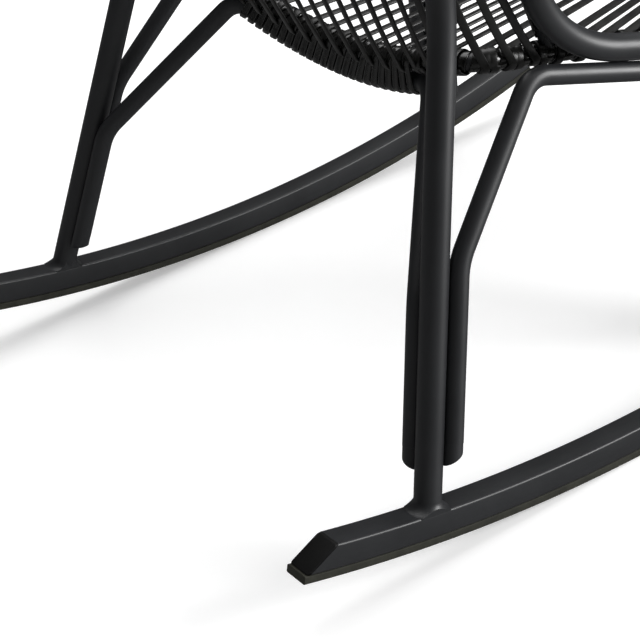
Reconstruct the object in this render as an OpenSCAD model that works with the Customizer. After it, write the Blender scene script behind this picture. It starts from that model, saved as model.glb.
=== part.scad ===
// Wicker rocking chair: an armless rocker of bent steel tube with a woven resin seat and back.
// X points to the sitter's left, Y to the rear and Z up. The floor is Z = 0 and the origin is the
// middle of the chair's outline on the floor. Each point below is for the sitter's left half, and
// it is given with the runners' arc touching the floor at Y = 0, before the chair is set at rest.

/* [Runners] */
// Radius of the arc that rolls on the floor
rocker_r = 1634; // [1400:1:1900]
// Distance between the runners' middles where the arc touches the floor at Y = 0
runner_gap = 625.8; // [600:0.1:650]
// How far each runner turns outward towards the front, in degrees
runner_toe = 0.96; // [0:0.01:1.5]
// Width of a runner's box section
runner_w = 26.4; // [25:0.1:32]
// Height of a runner's box section
runner_h = 24; // [20:0.1:28]
// Wall of the box section
runner_wall = 2; // [1.5:0.1:3]
// Thickness of the rubber glide strip
glide_t = 7.8; // [5:0.1:10]
// Distance from Y = 0 back to the rear end of the runner's top face
runner_rear = 199; // [180:1:230]
// Slope of the cut that ends the runner at the rear, in degrees
rear_cut = 33; // [25:1:60]
// Distance from Y = 0 forward to the front end of the runner
runner_front = 590; // [560:1:620]
// Distance from Y = 0 back to the rear end of the glide strip
glide_rear = 235; // [232:1:260]

/* [Tubes] */
// Outside diameter of the rim and the legs
rim_d = 25; // [24:0.1:27]
// Outside diameter of the braces
brace_d = 18.5; // [17:0.1:20]
// Diameter of the rod under the binding, round the seat
ring_d = 16; // [14:0.1:17]
// Wall of the rim, the legs and the braces
tube_wall = 2; // [1.5:0.1:2.5]

/* [Back] */
// Lean of the back hoop's sides from upright, in degrees
back_lean = 28.5; // [26:0.1:31]
// How far the back hoop's sides spread for each millimetre of height
back_flare = 0.07; // [0:0.01:0.12]
// Height of the hoop's top corners before they are rounded
hoop_corner_z = 960; // [930:1:1020]
// Rise of the hoop's crown above its top corners
hoop_crown = 44; // [25:1:60]
// Radius of the hoop's top corners
hoop_corner_r = 150; // [120:1:170]

/* [Weave] */
// Width of a resin strip
strip_w = 7.6; // [6:0.1:9]
// Thickness of a resin strip
strip_t = 2.2; // [2:0.1:3]
// Distance from strip to strip along the seat ring
strip_pitch = 25; // [22:0.5:28]
// Thickness of the binding round a rod
binding_t = 1.4; // [1:0.1:2]
// Number of turns in the wound panel between the two hip rods
hip_turns = 24; // [20:1:24]
// Width of the band wound there
hip_band_w = 10.3; // [9:0.1:10.8]

/* [Stance] */
// How far the chair is rolled forward from the pose in which its points are given, in degrees
rest_angle = 7; // [0:0.1:8]

/* [Hidden] */
$fn = 48;

steel = "#26272a";
steel_rod = "#1d1e20";
rubber = "#33322c";
plastic = "#1a1a1b";
resin = "#141414";
resin_binding = "#1a1a19";

// Vectors and frames
function unit(v) = v / norm(v);
function mirrored(p) = [-p[0], p[1], p[2]];
function reversed(list) = [for (i = [len(list) - 1:-1:0]) list[i]];
function with_mirror(points) = concat(points, [for (p = reversed(points)) mirrored(p)]);
function along(a, b, part) = a + (b - a) * part;
function at_height(a, b, z) = along(a, b, (z - a[2]) / (b[2] - a[2]));
function at_depth(a, b, y) = along(a, b, (y - a[1]) / (b[1] - a[1]));

// Bent paths: points where straight runs would meet, and a bend radius for each inner point
function turn(p, i) = acos(unit(p[i] - p[i - 1]) * unit(p[i + 1] - p[i]));
function inner(p, i) = i > 0 && i < len(p) - 1;
function setback(p, r, i) = inner(p, i) ? r[i] * tan(turn(p, i) / 2) : 0;
function run_from(p, r, i) = p[i] + unit(p[i + 1] - p[i]) * setback(p, r, i);
function run_to(p, r, i) = p[i + 1] - unit(p[i + 1] - p[i]) * setback(p, r, i + 1);
function bend_side(p, i) =
    let (u = unit(p[i] - p[i - 1]), v = unit(p[i + 1] - p[i]))
    unit(v - u * (u * v));
function bend_middle(p, r, i) =
    p[i] - unit(p[i] - p[i - 1]) * setback(p, r, i) + bend_side(p, i) * r[i];

// A place on a bent path at a length s from its start, as [point, direction]
function run_length(p, r, i) = norm(run_to(p, r, i) - run_from(p, r, i));
function bend_length(p, r, i) = inner(p, i) ? r[i] * turn(p, i) * PI / 180 : 0;
function on_run(p, r, i, s) =
    let (u = unit(p[i + 1] - p[i]))
    [run_from(p, r, i) + u * s, u];
function on_bend(p, r, i, s) =
    let (
        angle = s / r[i] * 180 / PI,
        n = bend_side(p, i),
        u = unit(p[i] - p[i - 1])
    )
    [bend_middle(p, r, i) + (u * sin(angle) - n * cos(angle)) * r[i], u * cos(angle) + n * sin(angle)];
function on_path(p, r, s, i = 0) =
    let (run = run_length(p, r, i), bend = bend_length(p, r, i + 1))
    s <= run || i == len(p) - 2 ? on_run(p, r, i, s)
    : s <= run + bend ? on_bend(p, r, i + 1, s - run)
    : on_path(p, r, s - run - bend, i + 1);
function path_length(p, r, i = 0) =
    i > len(p) - 2 ? 0 : run_length(p, r, i) + bend_length(p, r, i + 1) + path_length(p, r, i + 1);

module in_frame(origin, x, y, z) {
    multmatrix([
        [x[0], y[0], z[0], origin[0]],
        [x[1], y[1], z[1], origin[1]],
        [x[2], y[2], z[2], origin[2]],
        [0, 0, 0, 1]
    ]) children();
}

// The children's Z axis points along a direction, and their X axis is as near as it can be to aim
module facing(origin, z, aim) {
    x = unit(aim - z * (aim * z));
    in_frame(origin, x, cross(z, x), z) children();
}

module wall_section(d, wall) {
    difference() {
        circle(d = d);
        if (wall > 0) circle(d = d - 2 * wall);
    }
}

module straight_tube(a, b, d, wall) {
    z = unit(b - a);
    facing(a, z, abs(z[0]) < 0.9 ? [1, 0, 0] : [0, 0, 1])
        linear_extrude(norm(b - a)) wall_section(d, wall);
}

// A round tube bent along a path; a wall of 0 makes it a solid rod. Each bend is a hair thinner
// than the straight runs, which reach a little way over its ends, so that they join as one tube.
lap_reach = 0.3;
lap_step = 0.02;

module bent_tube(p, r, d, wall) {
    for (i = [0:len(p) - 2]) {
        u = unit(p[i + 1] - p[i]);
        straight_tube(
            run_from(p, r, i) - (inner(p, i) ? u * lap_reach : [0, 0, 0]),
            run_to(p, r, i) + (inner(p, i + 1) ? u * lap_reach : [0, 0, 0]),
            d, wall
        );
        if (inner(p, i)) bend(p, r, i, d - 2 * lap_step, wall > 0 ? wall - 2 * lap_step : 0);
    }
}

module bend(p, r, i, d, wall) {
    u = unit(p[i] - p[i - 1]);
    n = bend_side(p, i);
    in_frame(bend_middle(p, r, i), -n, u, cross(u, n))
        rotate_extrude(angle = turn(p, i), $fn = 144) translate([r[i], 0]) wall_section(d, wall);
}

// The sitter's left or right copy of what is modelled on the left
module left_side() {
    children();
}

module right_side() {
    mirror([1, 0, 0]) children();
}

module both_sides() {
    left_side() children();
    right_side() children();
}

// Runners
runner_under_r = rocker_r - glide_t;
runner_top_r = runner_under_r - runner_h;
front_angle = asin(runner_front / rocker_r);
glide_angle = asin(glide_rear / rocker_r);
past_cut_angle = 9;
cap_t = 1.6;
cap_angle = cap_t / rocker_r * 180 / PI;
plug_depth = 12;
plug_angle = plug_depth / rocker_r * 180 / PI;
plug_play = 0.2;

function arc_height(r, y) = rocker_r - sqrt(r * r - y * y);
function runner_x(y) = runner_gap / 2 - y * tan(runner_toe);

// A stretch of the runner's arc between two radii, from an angle in front to one behind
module runner_arc(low_r, high_r, width, front, rear) {
    translate([runner_gap / 2, 0, rocker_r])
        rotate([0, 0, runner_toe])
            in_frame([0, 0, 0], [0, 0, -1], [0, 1, 0], [1, 0, 0])
                rotate([0, 0, -front])
                    rotate_extrude(angle = front + rear, $fn = 1080)
                        translate([high_r, -width / 2]) square([low_r - high_r, width]);
}

module runner_outside(front = front_angle, rear = past_cut_angle) {
    runner_arc(runner_under_r, runner_top_r, runner_w, front, rear);
}

module runner_inside(front, rear, play = 0) {
    skin = runner_wall + play;
    runner_arc(runner_under_r - skin, runner_top_r + skin, runner_w - 2 * skin, front, rear);
}

// A slab along the oblique cut at the runner's rear end
module cut_slab(low, high) {
    translate([runner_gap / 2, runner_rear, arc_height(runner_top_r, runner_rear)])
        rotate([-rear_cut, 0, 0])
            translate([-30, -60, low]) cube([60, 120, high - low]);
}

module runner() {
    difference() {
        runner_outside();
        runner_inside(front_angle + 1, past_cut_angle + 1);
        cut_slab(0, 80);
    }
}

module rear_cap() {
    intersection() {
        runner_outside();
        cut_slab(0, cap_t);
    }
    intersection() {
        runner_inside(front_angle, past_cut_angle, plug_play);
        cut_slab(-plug_depth, 0);
    }
}

module front_cap() {
    runner_outside(front_angle + cap_angle, -front_angle);
    runner_inside(front_angle + cap_angle / 2, plug_angle - front_angle, plug_play);
}

module glide() {
    runner_arc(rocker_r, runner_under_r, runner_w, front_angle, glide_angle);
}

// Rear leg: from the runner up and inward, then bent rearward as a back post that meets the hoop
rear_foot_y = 94.4;
rear_foot = [runner_x(rear_foot_y), rear_foot_y, arc_height(runner_top_r, rear_foot_y)];
rear_slope = [-0.201, -0.176, 1];
rear_bend_z = 458;
rear_bend = rear_foot + rear_slope * (rear_bend_z - rear_foot[2]);
rear_bend_r = 180;
post_top_z = 820;
post_stand_off = 3.5;
post_cap_t = 2.5;
rear_sink = 3.6;

// The hoop's side, from the bend where the seat's rim turns up
rim_turn = [244.8, -92.1, 393.7];
rim_turn_r = 127.3;
hoop_slope = [back_flare, tan(back_lean), 1];
hoop_corner = rim_turn + hoop_slope * (hoop_corner_z - rim_turn[2]);
crown_r = 640;
crown = [0, hoop_corner[1] + hoop_crown * tan(back_lean), hoop_corner[2] + hoop_crown];
hoop_rear = [0, cos(back_lean), -sin(back_lean)];
post_top = rim_turn + hoop_slope * (post_top_z - rim_turn[2]) + hoop_rear * post_stand_off;

rear_leg_path = [rear_foot - rear_slope * rear_sink, rear_bend, post_top];
rear_leg_r = [0, rear_bend_r, 0];

module rear_leg() {
    difference() {
        bent_tube(rear_leg_path, rear_leg_r, rim_d, tube_wall);
        runner_outside();
        straight_tube(rim_turn + hoop_slope * 60, hoop_corner, rim_d, 0);
    }
}

// Lid that closes the open crescent where a back post runs into the hoop
module post_cap() {
    slope = unit(post_top - rear_bend);
    difference() {
        union() {
            straight_tube(post_top, post_top + slope * post_cap_t, rim_d, 0);
            straight_tube(
                post_top - slope * plug_depth, post_top + slope, rim_d - 2 * tube_wall - plug_play, 0
            );
        }
        straight_tube(rim_turn + hoop_slope * 60, hoop_corner, rim_d, 0);
    }
}

// Front leg: from the runner up, inward and rearward to the seat's rim
front_foot_y = -448;
front_foot = [runner_x(front_foot_y), front_foot_y, arc_height(runner_top_r, front_foot_y)];
rim_scoop = [263, -215, 379.3];
rim_front = [296, -545, 419.5];
front_leg_y = -384;
front_leg_top = at_depth(rim_scoop, rim_front, front_leg_y);
front_slope = unit(front_leg_top - front_foot);
front_sink = 2.8;
front_leg_short = 3;

module front_leg() {
    difference() {
        straight_tube(
            front_foot - front_slope * front_sink, front_leg_top - front_slope * front_leg_short,
            rim_d, tube_wall
        );
        runner_outside();
        straight_tube(rim_scoop, rim_front, rim_d, 0);
    }
}

// Weld bead round a leg's foot: a flared collar, cut flush with the runner's sides
weld_low = 12;
weld_seat = 0.3;
weld_outline = [[8, 0.5], [3.4, 3.2], [0.8, 8.5]];

module foot_weld(foot, slope) {
    r = rim_d / 2;
    wide = weld_outline[0][0];
    high = weld_outline[2][1];
    reach = 2 * (r + wide);
    intersection() {
        facing(foot, unit(slope), [1, 0, 0])
            rotate_extrude($fn = 96)
                translate([r, 0])
                    polygon(concat([[0, -weld_low], [wide, -weld_low]], weld_outline, [[0, high]]));
        translate(foot)
            rotate([asin(foot[1] / runner_top_r), 0, runner_toe])
                translate([-runner_w / 2, -reach, -weld_seat])
                    cube([runner_w, 2 * reach, 2 * high]);
    }
}

// The rim: one tube round the seat and up round the back, joined on spigots at the seat's sides
rim_scoop_r = 260;
rim_front_r = 80;
joint_y = -330;
joint = at_depth(rim_scoop, rim_front, joint_y);
spigot_half = 35;

back_hoop_path = with_mirror([joint, rim_scoop, rim_turn, hoop_corner]);
hoop_points = [for (i = [0:3]) back_hoop_path[i]];
hoop_path = concat(hoop_points, [crown], [for (p = reversed(hoop_points)) mirrored(p)]);
hoop_r = [0, rim_scoop_r, rim_turn_r, hoop_corner_r, crown_r,
    hoop_corner_r, rim_turn_r, rim_scoop_r, 0];

front_bow = 18;
front_bow_r = 1500;
front_rail_path = [
    joint, rim_front, [0, rim_front[1] - front_bow, rim_front[2]], mirrored(rim_front), mirrored(joint)
];
front_rail_r = [0, rim_front_r, front_bow_r, rim_front_r, 0];

module back_hoop() {
    color(steel) at_rest() bent_tube(hoop_path, hoop_r, rim_d, tube_wall);
}

module front_rail() {
    color(steel) at_rest() bent_tube(front_rail_path, front_rail_r, rim_d, tube_wall);
}

module rim_spigot() {
    line = unit(rim_front - rim_scoop);
    straight_tube(joint - line * spigot_half, joint + line * spigot_half, rim_d - 2 * tube_wall, 1.5);
}

// Braces: a bundle of two thinner tubes stands against each leg and parts from it higher up
touch = (rim_d + brace_d) / 2 - 0.1;
rail_drop = (rim_d + brace_d) / 2 - 0.1;
rear_along = unit(rear_slope);
rear_inward = unit([-1, 0, 0] - rear_along * ([-1, 0, 0] * rear_along));
rear_ahead = unit([0.316, -0.949, 0] - rear_along * ([0.316, -0.949, 0] * rear_along));
function rear_leg_at(z) = rear_foot + rear_slope * (z - rear_foot[2]);
function front_leg_at(z) = at_height(front_foot, front_leg_top, z);
front_inward = unit([-1, 0, 0] - front_slope * ([-1, 0, 0] * front_slope));
front_behind = unit([0.316, 0.949, 0] - front_slope * ([0.316, 0.949, 0] * front_slope));

// Hip rods: both lie in a plane that leans with the back
hip_lean = 27;
hip_low = [0, -49.8, 326.2];
hip_rod_gap = 27;
function on_hip(x, up) = hip_low + [x, up * sin(hip_lean), up * cos(hip_lean)];
low_rod_r = 412;
low_rod_end = [152, -33, 351.3];
low_rod_middle = [0, -57, 306.4];
low_corner_r = 27;
part_r = 60;

cross_foot = rear_leg_at(84) + rear_inward * touch;
cross_part = rear_leg_at(205) + rear_inward * touch;
rear_cross_path = with_middle([cross_foot, cross_part, low_rod_end], low_rod_middle);
rear_cross_r = [0, part_r, low_corner_r, low_rod_r, low_corner_r, part_r, 0];

function with_middle(points, middle) =
    concat(points, [middle], [for (p = reversed(points)) mirrored(p)]);

module rear_cross_brace() {
    color(steel_rod) at_rest() bent_tube(rear_cross_path, rear_cross_r, brace_d, tube_wall);
}

front_cross_foot = front_leg_at(130) + front_inward * touch;
front_cross_part = front_leg_at(240) + front_inward * touch;
front_cross_end = [170, rim_front[1] - 12, rim_front[2] - rail_drop];
front_cross_path = with_mirror([front_cross_foot, front_cross_part, front_cross_end]);
front_cross_r = [0, part_r, low_corner_r, low_corner_r, part_r, 0];

module front_cross_brace() {
    color(steel_rod) at_rest() bent_tube(front_cross_path, front_cross_r, brace_d, tube_wall);
}

side_foot = rear_leg_at(90) + rear_ahead * touch;
side_part = rear_leg_at(243) + rear_ahead * touch;
side_rear_corner = [247, -62, 378];
side_scoop = rim_scoop + [0, 3, -rail_drop - 0.5];
side_front_corner = at_depth(rim_scoop, rim_front, -328) - [0, 0, rail_drop + 0.5];
side_front_part = front_leg_at(250) + front_behind * touch;
side_front_foot = front_leg_at(140) + front_behind * touch;
side_path = [
    side_foot, side_part, side_rear_corner, side_scoop, side_front_corner, side_front_part,
    side_front_foot
];
side_r = [0, part_r, low_corner_r, 60, low_corner_r, part_r, 0];

module side_brace() {
    bent_tube(side_path, side_r, brace_d, tube_wall);
}

// Domed plug in a brace's lower end, cut back on the side away from the leg
dome_r = 20;

module end_plug(foot, along_leg, to_leg) {
    r = brace_d / 2;
    facing(foot, along_leg, to_leg) {
        intersection() {
            translate([0, 0, -dome_r - 4]) cylinder(h = dome_r + 4, r = r);
            translate([r, 0, 0]) sphere(r = dome_r, $fn = 128);
        }
        translate([0, 0, -1]) cylinder(h = plug_depth + 1, r = r - tube_wall - plug_play);
    }
}

module brace_end_plugs() {
    color(plastic) at_rest() both_sides() {
        end_plug(cross_foot, rear_along, -rear_inward);
        end_plug(side_foot, rear_along, -rear_ahead);
        end_plug(front_cross_foot, front_slope, -front_inward);
        end_plug(side_front_foot, front_slope, -front_behind);
    }
}

// The seat ring: a rod just inside the rim, whose rear run is the upper hip rod
ring_inset = 24.6;
hip_rod_r = 470;
ring_rear_middle = [0, -47.9, 330.1];
ring_rear_corner = [212, -17.9, 388.9];
ring_corner_r = 24;
ring_scoop = [rim_scoop[0] - ring_inset, rim_scoop[1], rim_scoop[2] - 1.8];
ring_front = [rim_front[0] - ring_inset - 3, rim_front[1] + 20, rim_front[2] - 4];
ring_front_r = 42;
ring_half = [[0, ring_front[1], ring_front[2]], ring_front, ring_scoop, ring_rear_corner];
ring_path = with_middle(ring_half, ring_rear_middle);
ring_r = [0, ring_front_r, rim_scoop_r, ring_corner_r, hip_rod_r,
    ring_corner_r, rim_scoop_r, ring_front_r, 0];

module seat_ring() {
    color(steel_rod) at_rest() bent_tube(ring_path, ring_r, ring_d, 0);
}

// The back's inner hoop: a thinner rod inside the hoop, from the seat ring up and over
hoop_rod_d = 12;
hoop_inset = 23;
inner_foot = [rim_turn[0] - hoop_inset - 0.7, -97.4, 384];
inner_corner = hoop_corner + [-hoop_inset, -hoop_inset * 0.9 * tan(back_lean), -hoop_inset * 0.9];
inner_crown = crown + [0, -hoop_inset * sin(back_lean), -hoop_inset * cos(back_lean)];
inner_corner_r = hoop_corner_r - 20;
inner_path = with_middle([inner_foot, inner_corner], inner_crown);
inner_r = [0, inner_corner_r, crown_r, inner_corner_r, 0];

module back_inner_hoop() {
    color(steel_rod) at_rest() bent_tube(inner_path, inner_r, hoop_rod_d, 0);
}

// Bindings: resin wound tight round the rods
ring_bound_r = ring_d / 2 + binding_t;
hoop_bound_r = hoop_rod_d / 2 + binding_t;
ring_span = path_length(ring_path, ring_r);
inner_span = path_length(inner_path, inner_r);

// Places at a length s from the middle of the hip rod, or from the middle of the crown
function ring_at(s) = on_path(ring_path, ring_r, ring_span / 2 - s);
function hoop_at(s) = on_path(inner_path, inner_r, inner_span / 2 - s);

hip_pitch = 11.375;
hip_half = hip_turns * hip_pitch / 2;
hip_band_t = 2.4;
hip_band_edge = 1;
loop_rings = 24;
side_binding_start = hip_half + 6;
front_binding_half = 200;
hoop_binding_gap = 14;
top_binding_half = 96;

module side_binding() {
    difference() {
        bent_tube(
            [
                at_x(ring_rear_middle, ring_rear_corner, side_binding_start), ring_rear_corner,
                ring_scoop, ring_front, [front_binding_half, ring_front[1], ring_front[2]]
            ],
            [0, ring_corner_r, rim_scoop_r, ring_front_r, 0],
            2 * ring_bound_r, binding_t
        );
        straight_tube(inner_foot, inner_corner, hoop_rod_d, 0);
    }
}

function at_x(a, b, x) = along(a, b, (x - a[0]) / (b[0] - a[0]));

module front_binding() {
    color(resin_binding) at_rest() straight_tube(
        [front_binding_half, ring_front[1], ring_front[2]],
        [-front_binding_half, ring_front[1], ring_front[2]],
        2 * ring_bound_r, binding_t
    );
}

module back_binding() {
    bent_tube(
        [
            inner_foot + unit(inner_corner - inner_foot) * hoop_binding_gap, inner_corner,
            at_x(inner_corner, inner_crown, top_binding_half)
        ],
        [0, inner_corner_r, 0], 2 * hoop_bound_r, binding_t
    );
}

module top_binding() {
    end = at_x(inner_corner, inner_crown, top_binding_half);
    color(resin_binding) at_rest() bent_tube([end, inner_crown, mirrored(end)], [0, crown_r, 0], 2 * hoop_bound_r, binding_t);
}

// Hip panel: one band wound round both hip rods as an unbroken helix
hip_up = [0, sin(hip_lean), cos(hip_lean)];
hip_out = [0, cos(hip_lean), -sin(hip_lean)];
function rod_rise(r, x) = r - sqrt(r * r - x * x);
function low_rod(x) = on_hip(x, rod_rise(low_rod_r, x));
function high_rod(x) = on_hip(x, hip_rod_gap + rod_rise(hip_rod_r, x));
function hip_radial(a) = hip_out * cos(a) + hip_up * sin(a);

// The band's middle and its outward direction at ring i: over the upper rod from the front, down
// the rear, under the lower rod and up the front
function hip_ring(i) =
    let (
        k = i % loop_rings,
        x = hip_pitch * i / loop_rings - hip_half,
        high_r = (ring_d + hip_band_t) / 2,
        low_r = (brace_d + hip_band_t) / 2,
        high = high_rod(x),
        low = low_rod(x)
    )
    k <= 8 ? [high + hip_radial(180 - 22.5 * k) * high_r, hip_radial(180 - 22.5 * k)]
    : k < 12 ? [along(high + hip_out * high_r, low + hip_out * low_r, (k - 8) / 4), hip_out]
    : k <= 20 ? [low + hip_radial(-22.5 * (k - 12)) * low_r, hip_radial(-22.5 * (k - 12))]
    : [along(low - hip_out * low_r, high - hip_out * high_r, (k - 20) / 4), -hip_out];

band_half = hip_band_w / 2;
band_section = [
    [-band_half, 0], [hip_band_edge - band_half, -hip_band_t / 2],
    [band_half - hip_band_edge, -hip_band_t / 2], [band_half, 0],
    [band_half - hip_band_edge, hip_band_t / 2], [hip_band_edge - band_half, hip_band_t / 2]
];
hip_rings = hip_turns * loop_rings;
hip_points = [
    for (i = [0:hip_rings])
        let (ring = hip_ring(i))
        for (c = band_section) ring[0] + [c[0], 0, 0] + ring[1] * c[1]
];
hip_gap = min([
    for (i = [0:hip_rings - loop_rings])
        norm(hip_points[(i + loop_rings) * 6] - hip_points[i * 6 + 3])
]);
echo(hip_band_gap = hip_gap);

module hip_binding() {
    color(resin_binding) at_rest() polyhedron(
        points = hip_points,
        faces = concat(
            [for (j = [1:4]) [0, j, j + 1]],
            [for (j = [1:4]) [hip_rings * 6, hip_rings * 6 + j + 1, hip_rings * 6 + j]],
            [for (i = [0:hip_rings - 1], j = [0:5])
                [i * 6 + j, i * 6 + 6 + (j + 1) % 6, i * 6 + (j + 1) % 6]],
            [for (i = [0:hip_rings - 1], j = [0:5])
                [i * 6 + j, i * 6 + 6 + j, i * 6 + 6 + (j + 1) % 6]]
        )
    );
}

// Strips: the seat's fan runs from the ring to its front run, and the back's up to the inner hoop
seat_middle = [0, -200, 400];
seat_strip_count = 26;
back_strip_count = 11;
fan_y = -900;
back_spread = 1.35;
seat = 0.2;

function strip_place(i) = i * strip_pitch;
function outward(v, way) = v * way < 0 ? -v : v;
function on_hip_panel(s) = s < hip_half + 2;

module strip(a, b, face) {
    z = unit(b - a);
    facing(a, z, face)
        translate([-strip_t / 2, -strip_w / 2, 0]) cube([strip_t, strip_w, norm(b - a)]);
}

// One turn of a strip over a binding
module strip_turn(place, bound_r) {
    z = place[1];
    facing(place[0] - z * strip_w / 2, z, abs(z[0]) < 0.9 ? [1, 0, 0] : [0, 0, 1])
        linear_extrude(strip_w) wall_section(2 * (bound_r + strip_t), strip_t + seat);
}

module seat_strip(i) {
    place = ring_at(strip_place(i));
    start = place[0];
    fan = (fan_y - ring_front[1]) / (fan_y - start[1]);
    end = [start[0] * fan, ring_front[1], ring_front[2]];
    run = unit(end - start);
    up = outward(unit(cross(place[1], run)), [0, 0, 1]);
    front_up = outward(unit(cross([1, 0, 0], run)), [0, 0, 1]);
    hip = on_hip_panel(strip_place(i));
    start_r = hip ? ring_d / 2 + hip_band_t : ring_bound_r;
    strip(
        start + up * (start_r + strip_t / 2 - seat),
        end + front_up * (ring_bound_r + strip_t / 2 - seat),
        up
    );
    if (!hip) strip_turn(place, ring_bound_r);
    strip_turn([end, [1, 0, 0]], ring_bound_r);
}

module back_strip(i) {
    low = ring_at(strip_place(i));
    high = hoop_at(strip_place(i) * back_spread);
    run = unit(high[0] - low[0]);
    out = outward(unit(cross(low[1], run)), low[0] - seat_middle);
    high_out = unit(out - run * (out * run));
    hip = on_hip_panel(strip_place(i));
    low_r = hip ? ring_d / 2 + hip_band_t : ring_bound_r;
    strip(
        low[0] + out * (low_r + strip_t / 2 - seat),
        high[0] + high_out * (hoop_bound_r + strip_t / 2 - seat),
        out
    );
    strip_turn(high, hoop_bound_r);
}

module seat_strips() {
    color(resin) at_rest() {
        seat_strip(0);
        both_sides() for (i = [1:seat_strip_count]) seat_strip(i);
    }
}

module back_strips() {
    color(resin) at_rest() {
        back_strip(0);
        both_sides() for (i = [1:back_strip_count]) back_strip(i);
    }
}

// Spacers: short studs that hold the bound rods off the rim and off the back hoop
spacer_d = 10;
ring_spacer_y = [-172, -300, -430];
hoop_spacer_z = [520, 640, 760];

module ring_spacer(y) {
    a = y > ring_scoop[1] ? at_depth(ring_rear_corner, ring_scoop, y) : at_depth(ring_scoop, ring_front, y);
    b = y > rim_scoop[1] ? at_depth(rim_turn, rim_scoop, y) : at_depth(rim_scoop, rim_front, y);
    difference() {
        straight_tube(a, b, spacer_d, 0);
        bent_tube([rim_turn, rim_scoop, rim_front], [0, rim_scoop_r, 0], rim_d, 0);
        bent_tube([ring_rear_corner, ring_scoop, ring_front], [0, rim_scoop_r, 0], 2 * ring_bound_r, 0);
    }
}

module hoop_spacer(z) {
    a = at_height(inner_foot, inner_corner, z);
    b = at_height(rim_turn, hoop_corner, z);
    difference() {
        straight_tube(a, b, spacer_d, 0);
        straight_tube(rim_turn, hoop_corner, rim_d, 0);
        straight_tube(inner_foot, inner_corner, 2 * hoop_bound_r, 0);
    }
}

// The pose at rest: the chair is rolled about the axis of the runners' arc, then centred
function rolled(p) =
    let (y = p[1], z = p[2] - rocker_r)
    [p[0], y * cos(rest_angle) - z * sin(rest_angle), rocker_r + y * sin(rest_angle) + z * cos(rest_angle)];

rail_front = on_path(front_rail_path, front_rail_r, path_length(front_rail_path, front_rail_r) / 2)[0];
front_limit = rolled(rail_front)[1] - rim_d / 2;
rear_limit = rolled([0, glide_rear, arc_height(rocker_r, glide_rear)])[1];
centre_y = (front_limit + rear_limit) / 2;

module at_rest() {
    translate([0, -centre_y, rocker_r])
        rotate([rest_angle, 0, 0])
            translate([0, 0, -rocker_r])
                children();
}

module runner_left() { color(steel) at_rest() left_side() runner(); }
module runner_right() { color(steel) at_rest() right_side() runner(); }
module runner_rear_caps() { color(plastic) at_rest() both_sides() rear_cap(); }
module runner_front_caps() { color(plastic) at_rest() both_sides() front_cap(); }
module glide_left() { color(rubber) at_rest() left_side() glide(); }
module glide_right() { color(rubber) at_rest() right_side() glide(); }
module rear_leg_left() { color(steel) at_rest() left_side() rear_leg(); }
module rear_leg_right() { color(steel) at_rest() right_side() rear_leg(); }
module front_leg_left() { color(steel) at_rest() left_side() front_leg(); }
module front_leg_right() { color(steel) at_rest() right_side() front_leg(); }
module rear_leg_welds() { color(steel) at_rest() both_sides() foot_weld(rear_foot, rear_slope); }
module front_leg_welds() { color(steel) at_rest() both_sides() foot_weld(front_foot, front_slope); }
module back_post_caps() { color(steel) at_rest() both_sides() post_cap(); }
module side_brace_left() { color(steel_rod) at_rest() left_side() side_brace(); }
module side_brace_right() { color(steel_rod) at_rest() right_side() side_brace(); }
module rim_spigots() { color(steel_rod) at_rest() both_sides() rim_spigot(); }
module ring_spacers() { color(steel) at_rest() both_sides() for (y = ring_spacer_y) ring_spacer(y); }
module hoop_spacers() { color(steel) at_rest() both_sides() for (z = hoop_spacer_z) hoop_spacer(z); }
module side_binding_left() { color(resin_binding) at_rest() left_side() side_binding(); }
module side_binding_right() { color(resin_binding) at_rest() right_side() side_binding(); }
module back_binding_left() { color(resin_binding) at_rest() left_side() back_binding(); }
module back_binding_right() { color(resin_binding) at_rest() right_side() back_binding(); }

runner_left();
runner_right();
runner_rear_caps();
runner_front_caps();
glide_left();
glide_right();
rear_leg_left();
rear_leg_right();
front_leg_left();
front_leg_right();
rear_leg_welds();
front_leg_welds();
back_post_caps();
rear_cross_brace();
front_cross_brace();
side_brace_left();
side_brace_right();
brace_end_plugs();
back_hoop();
front_rail();
rim_spigots();
seat_ring();
back_inner_hoop();
ring_spacers();
hoop_spacers();
hip_binding();
side_binding_left();
side_binding_right();
front_binding();
back_binding_left();
back_binding_right();
top_binding();
seat_strips();
back_strips();
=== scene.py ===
"""Dresses a packed rocking chair with bent tubes, resin windings, a fan of strips and a white studio"""

import math

import bmesh
import bpy
from mathutils import Matrix, Vector


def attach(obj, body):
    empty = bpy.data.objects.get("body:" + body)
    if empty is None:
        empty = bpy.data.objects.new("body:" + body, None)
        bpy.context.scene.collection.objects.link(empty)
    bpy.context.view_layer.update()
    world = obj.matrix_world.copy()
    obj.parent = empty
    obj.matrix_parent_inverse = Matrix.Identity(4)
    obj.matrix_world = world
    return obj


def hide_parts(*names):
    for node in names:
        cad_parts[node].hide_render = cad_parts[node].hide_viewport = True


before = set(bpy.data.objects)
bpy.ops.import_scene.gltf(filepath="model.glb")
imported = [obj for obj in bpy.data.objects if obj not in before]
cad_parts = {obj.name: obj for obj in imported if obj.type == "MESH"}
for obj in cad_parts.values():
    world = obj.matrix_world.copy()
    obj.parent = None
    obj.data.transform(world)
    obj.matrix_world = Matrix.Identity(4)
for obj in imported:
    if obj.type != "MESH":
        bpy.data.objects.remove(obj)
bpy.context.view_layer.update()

bl_info = {
    "name": "Wicker rocking chair",
    "version": (1, 0, 0),
    "blender": (4, 5, 0),
    "location": "View3D > Sidebar > Rocking chair",
    "description": "Builds the frame, the bindings, the strips and the studio of a wicker rocking chair",
    "category": "Object",
}

MM = 0.001

# Places of the coordinates in a vector
X, Y, Z = range(3)

# Points closer than this are one point
SAME_PLACE = 1e-6

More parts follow.
